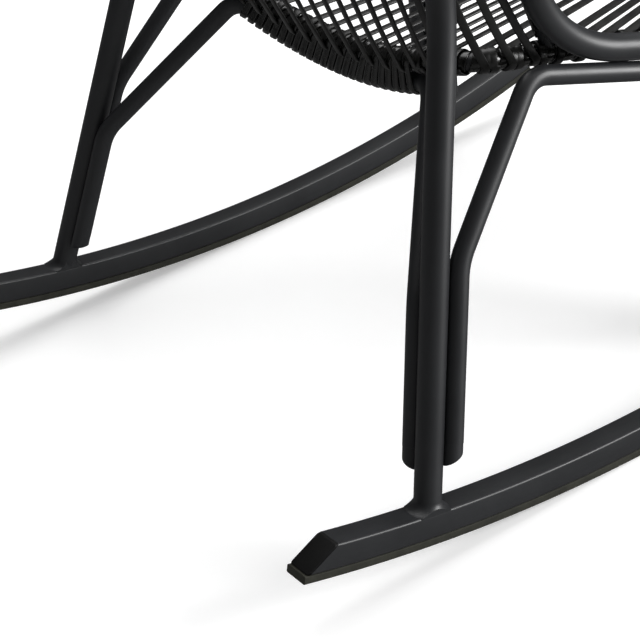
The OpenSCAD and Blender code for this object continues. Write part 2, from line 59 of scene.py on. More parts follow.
# Sizes of the chair, in millimetres, in the pose in which its runners touch the floor at Y = 0
ROCKER_R = 1634
RUNNER_GAP = 625.8
RUNNER_TOE = math.radians(0.96)
RUNNER_W = 26.4
RUNNER_H = 24
GLIDE_T = 7.8
RUNNER_REAR = 199
REAR_CUT = math.radians(33)
RUNNER_FRONT = 590
GLIDE_REAR = 235
CAP_T = 1.6
RUNNER_UNDER_R = ROCKER_R - GLIDE_T
RUNNER_TOP_R = RUNNER_UNDER_R - RUNNER_H
RIM_D = 25
BRACE_D = 18.5
RING_D = 16
HOOP_ROD_D = 12
SEAT_GAP = 0.2
BACK_LEAN = math.radians(28.5)
REST_ANGLE = math.radians(7)


def unit(v):
    return v.normalized()


def mirrored(p):
    return Vector((-p.x, p.y, p.z))


def along(a, b, part):
    return a + (b - a) * part


def at_axis(a, b, axis, value):
    """The point of the line from a to b whose coordinate on an axis is value"""
    return along(a, b, (value - a[axis]) / (b[axis] - a[axis]))


def arc_height(r, y):
    return ROCKER_R - math.sqrt(r * r - y * y)


def runner_x(y):
    return RUNNER_GAP / 2 - y * math.tan(RUNNER_TOE)


def with_middle(points, middle):
    return points + [middle] + [mirrored(p) for p in reversed(points)]


def with_mirror(points):
    return points + [mirrored(p) for p in reversed(points)]


def bend_radii(side, middle=None):
    """A radius for each corner of a tube whose halves mirror each other; its ends aren't bent"""
    return [0] + side + ([] if middle is None else [middle]) + side[::-1] + [0]


def path_points(corners, radii, bend_step, run_step=math.inf):
    """Points on straight runs, at most run_step mm apart, and on bends, at most bend_step degrees apart"""
    last = len(corners) - 1

    def turn(i):
        return unit(corners[i] - corners[i - 1]).angle(unit(corners[i + 1] - corners[i]))

    def setback(i):
        return radii[i] * math.tan(turn(i) / 2) if 0 < i < last else 0

    points = []
    for i in range(last):
        u = unit(corners[i + 1] - corners[i])
        start = corners[i] + u * setback(i)
        end = corners[i + 1] - u * setback(i + 1)
        runs = max(1, math.ceil((end - start).length / run_step))
        points += [along(start, end, k / runs) for k in range(runs + 1)]
        if i + 1 < last:
            v = unit(corners[i + 2] - corners[i + 1])
            side = unit(v - u * u.dot(v))
            middle = end + side * radii[i + 1]
            angle = turn(i + 1)
            steps = max(2, math.ceil(math.degrees(angle) / bend_step))
            for k in range(1, steps):
                a = angle * k / steps
                points.append(middle + (u * math.sin(a) - side * math.cos(a)) * radii[i + 1])
    return points


# Corners of the bent tubes and the radii of their bends, for the sitter's left half
REAR_FOOT_Y = 94.4
REAR_FOOT = Vector((runner_x(REAR_FOOT_Y), REAR_FOOT_Y, arc_height(RUNNER_TOP_R, REAR_FOOT_Y)))
REAR_SLOPE = Vector((-0.201, -0.176, 1))
REAR_SINK = 3.6
REAR_BEND_Z = 458
REAR_BEND_R = 180
REAR_BEND = REAR_FOOT + REAR_SLOPE * (REAR_BEND_Z - REAR_FOOT.z)
POST_JOIN_Z = 745
POST_JOIN_R = 120
POST_TOP_Z = 820
RIM_TURN = Vector((244.8, -92.1, 393.7))
RIM_TURN_R = 127.3
HOOP_SLOPE = Vector((0.07, math.tan(BACK_LEAN), 1))
HOOP_CORNER_Z = 960
HOOP_CORNER_R = 150
HOOP_CORNER = RIM_TURN + HOOP_SLOPE * (HOOP_CORNER_Z - RIM_TURN.z)
HOOP_REAR = Vector((0, math.cos(BACK_LEAN), -math.sin(BACK_LEAN)))
CROWN_RISE = 44
CROWN_R = 640
CROWN = HOOP_CORNER + Vector((-HOOP_CORNER.x, CROWN_RISE * math.tan(BACK_LEAN), CROWN_RISE))


def behind_hoop(z):
    """The middle of a back post that touches the hoop from behind, at height z"""
    return RIM_TURN + HOOP_SLOPE * (z - RIM_TURN.z) + HOOP_REAR * (RIM_D + SEAT_GAP)


RIM_SCOOP = Vector((263, -215, 379.3))
RIM_SCOOP_R = 260
RIM_FRONT = Vector((296, -545, 419.5))
RIM_FRONT_R = 80
RIM_JOINT = at_axis(RIM_SCOOP, RIM_FRONT, Y, -330)
FRONT_BOW = 18
FRONT_BOW_R = 1500
FRONT_FOOT_Y = -448
FRONT_FOOT = Vector((runner_x(FRONT_FOOT_Y), FRONT_FOOT_Y, arc_height(RUNNER_TOP_R, FRONT_FOOT_Y)))
FRONT_SINK = 2.8
FRONT_LEG_TOP = at_axis(RIM_SCOOP, RIM_FRONT, Y, -384)
FRONT_LEG_SHORT = 3
FRONT_SLOPE = unit(FRONT_LEG_TOP - FRONT_FOOT)
HOOP_SIDE = [RIM_JOINT, RIM_SCOOP, RIM_TURN, HOOP_CORNER]
TOUCH = (RIM_D + BRACE_D) / 2 + SEAT_GAP
REAR_ALONG = unit(REAR_SLOPE)


def across(direction, axis):
    """The part of a direction that is square to an axis, as a unit vector"""
    return unit(direction - axis * direction.dot(axis))


INWARD = Vector((-1, 0, 0))
REAR_INWARD = across(INWARD, REAR_ALONG)
REAR_AHEAD = across(Vector((0.316, -0.949, 0)), REAR_ALONG)
FRONT_INWARD = across(INWARD, FRONT_SLOPE)
FRONT_BEHIND = across(Vector((0.316, 0.949, 0)), FRONT_SLOPE)


def rear_leg_at(z):
    return REAR_FOOT + REAR_SLOPE * (z - REAR_FOOT.z)


def front_leg_at(z):
    return at_axis(FRONT_FOOT, FRONT_LEG_TOP, Z, z)


# A brace's foot, its lower bend and its shoulder under the rim
BRACE_FOOT_R = 60
BRACE_SHOULDER_R = 27
CROSS_FOOT = rear_leg_at(84) + REAR_INWARD * TOUCH
CROSS_BEND = rear_leg_at(205) + REAR_INWARD * TOUCH
CROSS_SHOULDER = Vector((152, -33, 351.3))
CROSS_MIDDLE = Vector((0, -57, 306.4))
LOW_ROD_R = 412
FRONT_CROSS_FOOT = front_leg_at(130) + FRONT_INWARD * TOUCH
FRONT_CROSS_BEND = front_leg_at(240) + FRONT_INWARD * TOUCH
FRONT_CROSS_SHOULDER = Vector((170, RIM_FRONT.y - 12, RIM_FRONT.z - TOUCH))
SIDE_FOOT = rear_leg_at(90) + REAR_AHEAD * TOUCH
SIDE_BEND = rear_leg_at(243) + REAR_AHEAD * TOUCH
SIDE_SHOULDER = Vector((247, -62, 378))
SIDE_CLEAR = 1.4
UNDER_RIM = Vector((0, 0, -TOUCH - SIDE_CLEAR))
SIDE_SCOOP = RIM_SCOOP + UNDER_RIM + Vector((0, 3, 0))
SIDE_FRONT_SHOULDER = at_axis(RIM_SCOOP, RIM_FRONT, Y, -328) + UNDER_RIM
SIDE_FRONT_BEND = front_leg_at(250) + FRONT_BEHIND * TOUCH
SIDE_FRONT_FOOT = front_leg_at(140) + FRONT_BEHIND * TOUCH

# The ring inside the rim, whose rear is the upper hip rod, and the rod inside the back hoop
RING_REAR_MIDDLE = Vector((0, -47.9, 330.1))
HIGH_ROD_R = 470
RING_REAR_CORNER = Vector((212, -17.9, 388.9))
RING_REAR_R = 24
RING_SCOOP = RIM_SCOOP - Vector((24.6, 0, 1.8))
RING_FRONT = RIM_FRONT + Vector((-27.6, 26, -4))
RING_FRONT_R = 46
INNER_FOOT = Vector((RIM_TURN.x - 20.9, -106, 384))
HOOP_INSET = 25
HOOP_CORNER_DROP = 0.9 * HOOP_INSET
INNER_CORNER = HOOP_CORNER - Vector((HOOP_INSET, HOOP_CORNER_DROP * math.tan(BACK_LEAN), HOOP_CORNER_DROP))
INNER_CORNER_R = 130
INNER_CROWN = CROWN - Vector((0, HOOP_INSET * math.sin(BACK_LEAN), HOOP_INSET * math.cos(BACK_LEAN)))

LINES = {
    "rear_leg": (
        [REAR_FOOT - REAR_SLOPE * REAR_SINK, REAR_BEND, behind_hoop(POST_JOIN_Z), behind_hoop(POST_TOP_Z)],
        [0, REAR_BEND_R, POST_JOIN_R, 0],
    ),
    "front_leg": (
        [FRONT_FOOT - FRONT_SLOPE * FRONT_SINK, FRONT_LEG_TOP - FRONT_SLOPE * FRONT_LEG_SHORT],
        [0, 0],
    ),
    "back_hoop": (
        with_middle(HOOP_SIDE, CROWN),
        bend_radii([RIM_SCOOP_R, RIM_TURN_R, HOOP_CORNER_R], CROWN_R),
    ),
    "front_rail": (
        with_middle([RIM_JOINT, RIM_FRONT], Vector((0, RIM_FRONT.y - FRONT_BOW, RIM_FRONT.z))),
        bend_radii([RIM_FRONT_R], FRONT_BOW_R),
    ),
    "rear_cross_brace": (
        with_middle([CROSS_FOOT, CROSS_BEND, CROSS_SHOULDER], CROSS_MIDDLE),
        bend_radii([BRACE_FOOT_R, BRACE_SHOULDER_R], LOW_ROD_R),
    ),
    "front_cross_brace": (
        with_mirror([FRONT_CROSS_FOOT, FRONT_CROSS_BEND, FRONT_CROSS_SHOULDER]),
        bend_radii([BRACE_FOOT_R, BRACE_SHOULDER_R]),
    ),
    "side_brace": (
        [
            SIDE_FOOT, SIDE_BEND, SIDE_SHOULDER, SIDE_SCOOP, SIDE_FRONT_SHOULDER, SIDE_FRONT_BEND,
            SIDE_FRONT_FOOT,
        ],
        bend_radii([BRACE_FOOT_R, BRACE_SHOULDER_R], BRACE_FOOT_R),
    ),
    "seat_ring": (
        with_middle(
            [Vector((0, RING_FRONT.y, RING_FRONT.z)), RING_FRONT, RING_SCOOP, RING_REAR_CORNER],
            RING_REAR_MIDDLE,
        ),
        bend_radii([RING_FRONT_R, RIM_SCOOP_R, RING_REAR_R], HIGH_ROD_R),
    ),
    "back_inner_hoop": (
        with_middle([INNER_FOOT, INNER_CORNER], INNER_CROWN),
        bend_radii([INNER_CORNER_R], CROWN_R),
    ),
}


def rolled(p):
    """A point in millimetres after the chair has rolled forward about the axis of its runners' arc"""
    y, z = p.y, p.z - ROCKER_R
    return Vector(
        (
            p.x,
            y * math.cos(REST_ANGLE) - z * math.sin(REST_ANGLE),
            ROCKER_R + y * math.sin(REST_ANGLE) + z * math.cos(REST_ANGLE),
        )
    )


RAIL_FRONT = min(path_points(*LINES["front_rail"], bend_step=0.25), key=lambda p: abs(p.x))
FRONT_LIMIT = rolled(RAIL_FRONT).y - RIM_D / 2
REAR_LIMIT = rolled(Vector((0, GLIDE_REAR, arc_height(ROCKER_R, GLIDE_REAR)))).y
CENTRE_Y = (FRONT_LIMIT + REAR_LIMIT) / 2


def placed(p):
    """A point of the chair in the frame's metres, with the rolled chair centred on the floor"""
    q = rolled(p)
    return Vector((q.x, q.y - CENTRE_Y, q.z)) * MM


def turned(v):
    """A direction of the chair in the frame"""
    return rolled(v + Vector((0, 0, ROCKER_R))) - rolled(Vector((0, 0, ROCKER_R)))


class Line:
    """A sampled line that gives the place and the direction at a length from its start"""

    def __init__(self, points):
        self.points = [p for i, p in enumerate(points) if i == 0 or (p - points[i - 1]).length > SAME_PLACE]
        self.lengths = [0.0]
        for a, b in zip(self.points, self.points[1:]):
            self.lengths.append(self.lengths[-1] + (b - a).length)
        self.span = self.lengths[-1]

    def place(self, s):
        s = min(max(s, 0.0), self.span)
        low, high = 0, len(self.lengths) - 2
        while low < high:
            middle = (low + high + 1) // 2
            if self.lengths[middle] <= s:
                low = middle
            else:
                high = middle - 1
        a, b = self.points[low], self.points[low + 1]
        part = (s - self.lengths[low]) / (self.lengths[low + 1] - self.lengths[low])
        return along(a, b, part), unit(b - a)


def fine_line(name):
    return Line(path_points(*LINES[name], bend_step=1.0, run_step=6))


# Nodes, a step apart in the editor
NODE_STEP = 200


def add(tree, kind, at=(0, 0), settings=None, links=None):
    """Adds a node, sets its properties and values, and links what feeds it"""
    node = tree.nodes.new(kind)
    node.location = (at[0] * NODE_STEP, at[1] * -NODE_STEP)
    for name, value in (settings or {}).items():
        setattr(node, name, value)
    for socket, value in (links or {}).items():
        if isinstance(value, bpy.types.NodeSocket):
            tree.links.new(value, node.inputs[socket])
        else:
            node.inputs[socket].default_value = value
    return node


# A mix node's sockets for its two values and its result
MIX_SOCKETS = {"FLOAT": (2, 3, 0), "RGBA": (6, 7, 2)}


def mixed(tree, at, kind, fac, low, high):
    """One value where the factor is 0 and another where it is 1"""
    first, second, result = MIX_SOCKETS[kind]
    node = add(tree, "ShaderNodeMix", at, {"data_type": kind}, {0: fac, first: low, second: high})
    return node.outputs[result]


def linear(hex_colour):
    """An sRGB hex colour as linear RGBA"""
    channels = [int(hex_colour[i:i + 2], 16) / 255 for i in (1, 3, 5)]
    return [c / 12.92 if c <= 0.04045 else ((c + 0.055) / 1.055) ** 2.4 for c in channels] + [1.0]


def new_tree(name, inputs):
    """A new Geometry Nodes tree with named inputs, given as pairs of a name and a socket's kind"""
    tree = bpy.data.node_groups.new(name, "GeometryNodeTree")
    for title, kind in (("Geometry", "Geometry"), *inputs, ("Material", "Material")):
        tree.interface.new_socket(title, in_out="INPUT", socket_type="NodeSocket" + kind)
    tree.interface.new_socket("Geometry", in_out="OUTPUT", socket_type="NodeSocketGeometry")
    return tree, add(tree, "NodeGroupInput", (0, 0))


def band_tree():
    """Sweeps a rounded flat section along lines whose points carry the way the band faces"""
    name = "Band along a line"
    if name in bpy.data.node_groups:
        return bpy.data.node_groups[name]
    tree, start = new_tree(
        name, (("Width", "Float"), ("Thickness", "Float"), ("Edge Radius", "Float"), ("Edge Steps", "Int")),
    )
    curve = add(tree, "GeometryNodeMeshToCurve", (1, 0), None, {"Mesh": start.outputs["Geometry"]})
    facing = add(
        tree, "GeometryNodeInputNamedAttribute", (1, 1), {"data_type": "FLOAT_VECTOR"}, {"Name": "facing"},
    )
    normal = add(
        tree, "GeometryNodeSetCurveNormal", (2, 0), {"mode": "FREE"},
        {"Curve": curve.outputs["Curve"], "Normal": facing.outputs["Attribute"]},
    )
    section = add(
        tree, "GeometryNodeCurvePrimitiveQuadrilateral", (2, 2), {"mode": "RECTANGLE"},
        {"Width": start.outputs["Thickness"], "Height": start.outputs["Width"]},
    )
    rounded = add(
        tree, "GeometryNodeFilletCurve", (3, 2), {"mode": "POLY"},
        {
            "Curve": section.outputs["Curve"], "Count": start.outputs["Edge Steps"],
            "Radius": start.outputs["Edge Radius"],
        },
    )
    mesh = add(
        tree, "GeometryNodeCurveToMesh", (4, 0), None,
        {"Curve": normal.outputs["Curve"], "Profile Curve": rounded.outputs["Curve"], "Fill Caps": True},
    )
    finish_tree(tree, start, mesh)
    return tree


def finish_tree(tree, start, mesh):
    """Smooths the shading, makes instances real and sets the material"""
    smooth = add(tree, "GeometryNodeSetShadeSmooth", (5, 0), None, {"Geometry": mesh.outputs["Mesh"]})
    real = add(tree, "GeometryNodeRealizeInstances", (6, 0), None, {"Geometry": smooth.outputs["Geometry"]})
    painted = add(
        tree, "GeometryNodeSetMaterial", (7, 0), None,
        {"Geometry": real.outputs["Geometry"], "Material": start.outputs["Material"]},
    )
    add(tree, "NodeGroupOutput", (8, 0), None, {"Geometry": painted.outputs["Geometry"]})


def tube_tree():
    """Sweeps a round section along lines"""
    name = "Tube along a line"
    if name in bpy.data.node_groups:
        return bpy.data.node_groups[name]
    tree, start = new_tree(name, (("Diameter", "Float"), ("Sides", "Int")))
    curve = add(tree, "GeometryNodeMeshToCurve", (1, 0), None, {"Mesh": start.outputs["Geometry"]})
    radius = add(
        tree, "ShaderNodeMath", (1, 2), {"operation": "DIVIDE"},
        {0: start.outputs["Diameter"], 1: 2.0},
    )
    section = add(
        tree, "GeometryNodeCurvePrimitiveCircle", (2, 2), {"mode": "RADIUS"},
        {"Resolution": start.outputs["Sides"], "Radius": radius.outputs[0]},
    )
    mesh = add(
        tree, "GeometryNodeCurveToMesh", (4, 0), None,
        {"Curve": curve.outputs["Curve"], "Profile Curve": section.outputs["Curve"], "Fill Caps": True},
    )
    finish_tree(tree, start, mesh)
    return tree


def swept(name, lines, tree, values, facings=None, sharp=40):
    """Runs a tree on lines of points and returns a plain mesh, whose edges past sharp degrees show"""
    verts, edges, normals = [], [], []
    for k, line in enumerate(lines):
        first = len(verts)
        verts += [placed(p) for p in line]
        edges += [(first + i, first + i + 1) for i in range(len(line) - 1)]
        if facings:
            normals += [turned(n) for n in facings[k]]
    mesh = bpy.data.meshes.new(name + " line")
    mesh.from_pydata(verts, edges, [])
    if facings:
        stored = mesh.attributes.new("facing", "FLOAT_VECTOR", "POINT")
        stored.data.foreach_set("vector", [c for n in normals for c in n])
    helper = bpy.data.objects.new(name + " line", mesh)
    bpy.context.scene.collection.objects.link(helper)
    modifier = helper.modifiers.new("Sweep", "NODES")
    modifier.node_group = tree
    for item in tree.interface.items_tree:
        if item.item_type == "SOCKET" and item.in_out == "INPUT" and item.name in values:
            modifier[item.identifier] = values[item.name]
    bpy.context.view_layer.update()
    depsgraph = bpy.context.evaluated_depsgraph_get()
    result = bpy.data.meshes.new_from_object(helper.evaluated_get(depsgraph))
    result.name = name
    bpy.data.objects.remove(helper)
    result.set_sharp_from_angle(angle=math.radians(sharp))
    piece = bpy.data.objects.new(name, result)
    bpy.context.scene.collection.objects.link(piece)
    return piece


def fit(piece, slot, *nodes):
    """Lets a piece ride on the chair in place of its CAD nodes"""
    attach(piece, "root")
    if nodes:
        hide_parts(*nodes)


TUBE_SIDES = 40
TUBE_BEND_STEP = 1.5


def round_bar(name, points, d, material):
    """A tube or a round plug along a line"""
    values = {"Diameter": d * MM, "Sides": TUBE_SIDES, "Material": finish(material)}
    return swept(name, [points], tube_tree(), values)


def sizes():
    return bpy.context.scene.rocker_sizes


def finishes():
    return bpy.context.scene.rocker_finish


# Materials
NOISE_ROUGHNESS = 0.55

# The noise lies mostly between these two values
NOISE_LOW = 0.3
NOISE_HIGH = 0.7


def lighter(colour, times):
    """A linear colour made lighter by a factor"""
    return [channel * times for channel in colour[:3]] + [1.0]


def grain(tree, coords, size_mm, detail, at):
    """Noise whose spots are about size_mm across"""
    return add(
        tree, "ShaderNodeTexNoise", at, None,
        {"Vector": coords, "Scale": 1 / (size_mm * MM), "Detail": detail, "Roughness": NOISE_ROUGHNESS},
    ).outputs["Fac"]


def colour_from(tree, fac, low, high):
    """A colour that varies between two tones"""
    ramp = add(tree, "ShaderNodeValToRGB", (-2, 0), None, {"Fac": fac})
    ramp.color_ramp.elements[0].position = NOISE_LOW
    ramp.color_ramp.elements[0].color = low
    ramp.color_ramp.elements[1].position = NOISE_HIGH
    ramp.color_ramp.elements[1].color = high
    return ramp.outputs["Color"]


def range_from(tree, fac, low, high):
    """A number that varies between two values"""
    return add(
        tree, "ShaderNodeMapRange", (-2, 1), None,
        {"Value": fac, "From Min": NOISE_LOW, "From Max": NOISE_HIGH, "To Min": low, "To Max": high},
    ).outputs["Result"]


def bumped(tree, shader, height, distance_mm, strength):
    """Raises the surface where the height is large"""
    bump = add(
        tree, "ShaderNodeBump", (-2, 3), None,
        {"Height": height, "Distance": distance_mm * MM, "Strength": strength},
    )
    tree.links.new(bump.outputs["Normal"], shader.inputs["Normal"])


def mottled(name, colour, gain, specular, roughness, cloud, fine, bump, rough_in="cloud"):
    """A material whose tone drifts in clouds and whose surface has a fine grain

    The tone rises by a gain. Roughness is given by its lowest value, the plain one that a viewer
    without nodes shows and its highest, and follows the clouds or the fine grain, each of which is
    given by its size in mm and its detail. The bump is given by its height in mm and its strength.
    """
    smoothest, plain, roughest = roughness
    material = bpy.data.materials.new(name)
    material.use_nodes = True
    material.diffuse_color = colour
    tree = material.node_tree
    shader = tree.nodes["Principled BSDF"]
    shader.inputs["Base Color"].default_value = colour
    shader.inputs["Roughness"].default_value = plain
    shader.inputs["Specular IOR Level"].default_value = specular
    coords = add(tree, "ShaderNodeTexCoord", (-6, 0)).outputs["Object"]
    spots = {"cloud": grain(tree, coords, *cloud, (-4, 0)), "fine": grain(tree, coords, *fine, (-4, 3))}
    tone = colour_from(tree, spots["cloud"], colour, lighter(colour, gain))
    tree.links.new(tone, shader.inputs["Base Color"])
    rough = range_from(tree, spots[rough_in], smoothest, roughest)
    tree.links.new(rough, shader.inputs["Roughness"])
    bumped(tree, shader, spots["fine"], *bump)
    return material


def powder_coat():
    """Polyester powder coat on steel: baked, with a fine orange peel that softens its satin shine"""
    return mottled(
        "Satin powder coat", finishes().coat_colour, gain=1.25, specular=0.5, roughness=(0.4, 0.42, 0.46),
        cloud=(60, 3), fine=(1.6, 2), bump=(0.03, 0.5),
    )


def resin_strip():
    """Extruded polyethylene strip: smooth and faintly uneven, with a slight gloss"""
    return mottled(
        "Wicker resin strip", finishes().strip_colour, gain=1.7, specular=0.45,
        roughness=(0.28, 0.34, 0.42), cloud=(9, 3), fine=(2.2, 2), bump=(0.05, 0.5),
    )


def wound_resin():
    """Extruded polyethylene strip, drawn tight round a rod, which makes it glossier"""
    return mottled(
        "Wound wicker resin", finishes().wound_colour, gain=1.7, specular=0.6,
        roughness=(0.16, 0.22, 0.3), cloud=(9, 3), fine=(2.2, 2), bump=(0.05, 0.5),
    )


def moulded_rubber():
    """Moulded rubber: dull, with a fine grain and dusty brown tones"""
    return mottled(
        "Moulded rubber", finishes().rubber_colour, gain=1.8, specular=0.3, roughness=(0.72, 0.78, 0.85),
        cloud=(14, 3), fine=(0.9, 2), bump=(0.05, 0.6), rough_in="fine",
    )


def moulded_plastic():
    """Moulded polypropylene plug: spark-eroded, so it scatters light evenly"""
    return mottled(
        "Moulded plastic", finishes().plug_colour, gain=1.6, specular=0.2, roughness=(0.5, 0.55, 0.62),
        cloud=(20, 2), fine=(0.7, 1), bump=(0.03, 0.5), rough_in="fine",
    )


MAKERS = {
    "Satin powder coat": powder_coat,
    "Wicker resin strip": resin_strip,
    "Wound wicker resin": wound_resin,
    "Moulded rubber": moulded_rubber,
    "Moulded plastic": moulded_plastic,
}


def finish(name):
    """The material of a name, made when it is first asked for"""
    return bpy.data.materials.get(name) or MAKERS[name]()


def paint_node(name, material):
    """Gives a CAD node that stays in view its finish"""
    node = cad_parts[name]
    node.data.materials.clear()
    node.data.materials.append(material)


PLUG_SHARP = 35


def smooth_copy(name, node, material, slot):
    """A merged, smoothly shaded copy of a CAD node, in its place"""
    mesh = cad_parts[node].data.copy()
    mesh.name = name
    merge(mesh)
    mesh.materials.clear()
    mesh.materials.append(material)
    mesh.shade_smooth()
    mesh.set_sharp_from_angle(angle=math.radians(PLUG_SHARP))
    piece = bpy.data.objects.new(name, mesh)
    bpy.context.scene.collection.objects.link(piece)
    fit(piece, slot, node)


def merge(mesh):
    """Joins the loose triangles of a CAD mesh where they meet"""
    shape = bmesh.new()
    shape.from_mesh(mesh)
    bmesh.ops.remove_doubles(shape, verts=shape.verts, dist=SAME_PLACE)
    shape.to_mesh(mesh)
    shape.free()
    if "custom_normal" in mesh.attributes:
        mesh.attributes.remove(mesh.attributes["custom_normal"])


# Metal frame
SIDES = (("Left", False), ("Right", True))


def fit_half(piece, slot, node, flip):
    """Fits one piece of a pair that the CAD holds in one node, which the left one replaces"""
    fit(piece, slot, *([] if flip else [node]))


def on_side(points, flip):
    return [mirrored(p) for p in points] if flip else list(points)


def add_tube(name, line, d):
    """A tube in the middle of the chair; its line has the name of the node that it replaces"""
    points = path_points(*LINES[line], TUBE_BEND_STEP)
    fit(round_bar(name, points, d, "Satin powder coat"), "powder_coat", line)


def add_tube_pair(name, line, d):
    """The same tube on both sides"""
    points = path_points(*LINES[line], TUBE_BEND_STEP)
    for side, flip in SIDES:
        piece = round_bar(name + side, on_side(points, flip), d, "Satin powder coat")
        fit(piece, "powder_coat", line + "_" + side.lower())


RUNNER_STEP = math.radians(0.5)
BAR_SHARP = 32
CUT_EDGE_STEPS = 3


def arc_line(radius, front, rear):
    """A stretch of the runner's arc from angle -front to rear, with the way that its underside faces"""
    steps = max(1, math.ceil((front + rear) / RUNNER_STEP))
    toe_x, toe_y = math.sin(RUNNER_TOE), math.cos(RUNNER_TOE)
    points, facings = [], []
    for k in range(steps + 1):
        a = -front + (front + rear) * k / steps
        y = radius * math.sin(a)
        points.append(Vector((RUNNER_GAP / 2 - y * toe_x, y * toe_y, ROCKER_R - radius * math.cos(a))))
        facings.append(Vector((-math.sin(a) * toe_x, math.sin(a) * toe_y, -math.cos(a))))
    return points, facings


def bar(name, lines, facings, width, thickness, edge_r, material, flip=False, steps=4, sharp=BAR_SHARP):
    """A flat section along lines that face some way, on either side, with edges rounded in steps"""
    values = {
        "Width": width * MM, "Thickness": thickness * MM, "Edge Radius": edge_r * MM, "Edge Steps": steps,
        "Material": finish(material),
    }
    lines = [on_side(line, flip) for line in lines]
    facings = [on_side(ways, flip) for ways in facings]
    return swept(name, lines, band_tree(), values, facings, sharp)


def cut(piece, point, normal, edge=0.0):
    """Takes off what lies past a plane, closes the cut and rounds its edge"""
    shape = bmesh.new()
    shape.from_mesh(piece.data)
    everything = list(shape.verts) + list(shape.edges) + list(shape.faces)
    bmesh.ops.bisect_plane(
        shape, geom=everything, plane_co=placed(point), plane_no=turned(normal), clear_outer=True,
    )
    rim = [e for e in shape.edges if e.is_boundary]
    bmesh.ops.holes_fill(shape, edges=rim)
    if edge:
        bmesh.ops.bevel(
            shape, geom=rim, offset=edge * MM, segments=CUT_EDGE_STEPS, profile=0.5, affect="EDGES",
            clamp_overlap=True,
        )
    bmesh.ops.recalc_face_normals(shape, faces=shape.faces)
    shape.to_mesh(piece.data)
    shape.free()
    piece.data.shade_smooth()
    piece.data.set_sharp_from_angle(angle=math.radians(BAR_SHARP))


FRONT_ANGLE = math.asin(RUNNER_FRONT / ROCKER_R)
GLIDE_ANGLE = math.asin(GLIDE_REAR / ROCKER_R)
BEFORE_CUT = math.radians(5)
PAST_CUT = math.radians(9)
RUNNER_EDGE_R = 2.2
GLIDE_EDGE_R = 1.3
GLIDE_STEP = 0.4
GLIDE_PLAY = 0.1
CAP_STEP = 0.8
CAP_EDGE_R = 0.6
CAP_SEAT = 3
RUNNER_MIDDLE_R = (RUNNER_UNDER_R + RUNNER_TOP_R) / 2
CUT_NORMAL = Vector((0, math.sin(REAR_CUT), math.cos(REAR_CUT)))
CUT_POINT = Vector((RUNNER_GAP / 2, RUNNER_REAR, arc_height(RUNNER_TOP_R, RUNNER_REAR)))


def add_runners():
    """Both runners, square at the front and cut obliquely at the rear"""
    for side, flip in SIDES:
        points, facings = arc_line(RUNNER_MIDDLE_R, FRONT_ANGLE, PAST_CUT)
        piece = bar(
            "Runner" + side, [points], [facings], RUNNER_W, RUNNER_H, RUNNER_EDGE_R,
            "Satin powder coat", flip,
        )
        cut(piece, on_side([CUT_POINT], flip)[0], CUT_NORMAL)
        fit(piece, "powder_coat", "runner_" + side.lower())


def add_glides():
    """The rubber strips under both runners, over their whole length"""
    for side, flip in SIDES:
        points, facings = arc_line(ROCKER_R - GLIDE_T / 2, FRONT_ANGLE, GLIDE_ANGLE)
        piece = bar(
            "Glide" + side, [points], [facings], RUNNER_W - GLIDE_STEP, GLIDE_T - GLIDE_PLAY,
            GLIDE_EDGE_R, "Moulded rubber", flip,
        )
        fit(piece, "rubber", "glide_" + side.lower())


def cap_bar(name, flip, front, rear):
    """A stretch of plug a little smaller than the runner"""
    points, facings = arc_line(RUNNER_MIDDLE_R, front, rear)
    return bar(
        name, [points], [facings], RUNNER_W - CAP_STEP, RUNNER_H - CAP_STEP, RUNNER_EDGE_R,
        "Moulded plastic", flip,
    )


def add_caps():
    """The oblique rear plugs and the flat front plugs"""
    cap_angle = CAP_T / RUNNER_MIDDLE_R
    for side, flip in SIDES:
        foot = on_side([CUT_POINT], flip)[0]
        rear = cap_bar("RearCap" + side, flip, -BEFORE_CUT, PAST_CUT)
        cut(rear, foot + CUT_NORMAL * CAP_T, CUT_NORMAL, CAP_EDGE_R)
        cut(rear, foot - CUT_NORMAL * CAP_SEAT, -CUT_NORMAL)
        fit_half(rear, "plastic", "runner_rear_caps", flip)
        front = cap_bar("FrontCap" + side, flip, FRONT_ANGLE + cap_angle, cap_angle - FRONT_ANGLE)
        fit_half(front, "plastic", "runner_front_caps", flip)


WELD_W = 8
WELD_H = 9
WELD_FLARE = 0.75
WELD_SIDES = 72
WELD_STEPS = 12
WELD_CLEAR = 0.05
WELD_SINK = 1.5
WELD_TUCK = 1


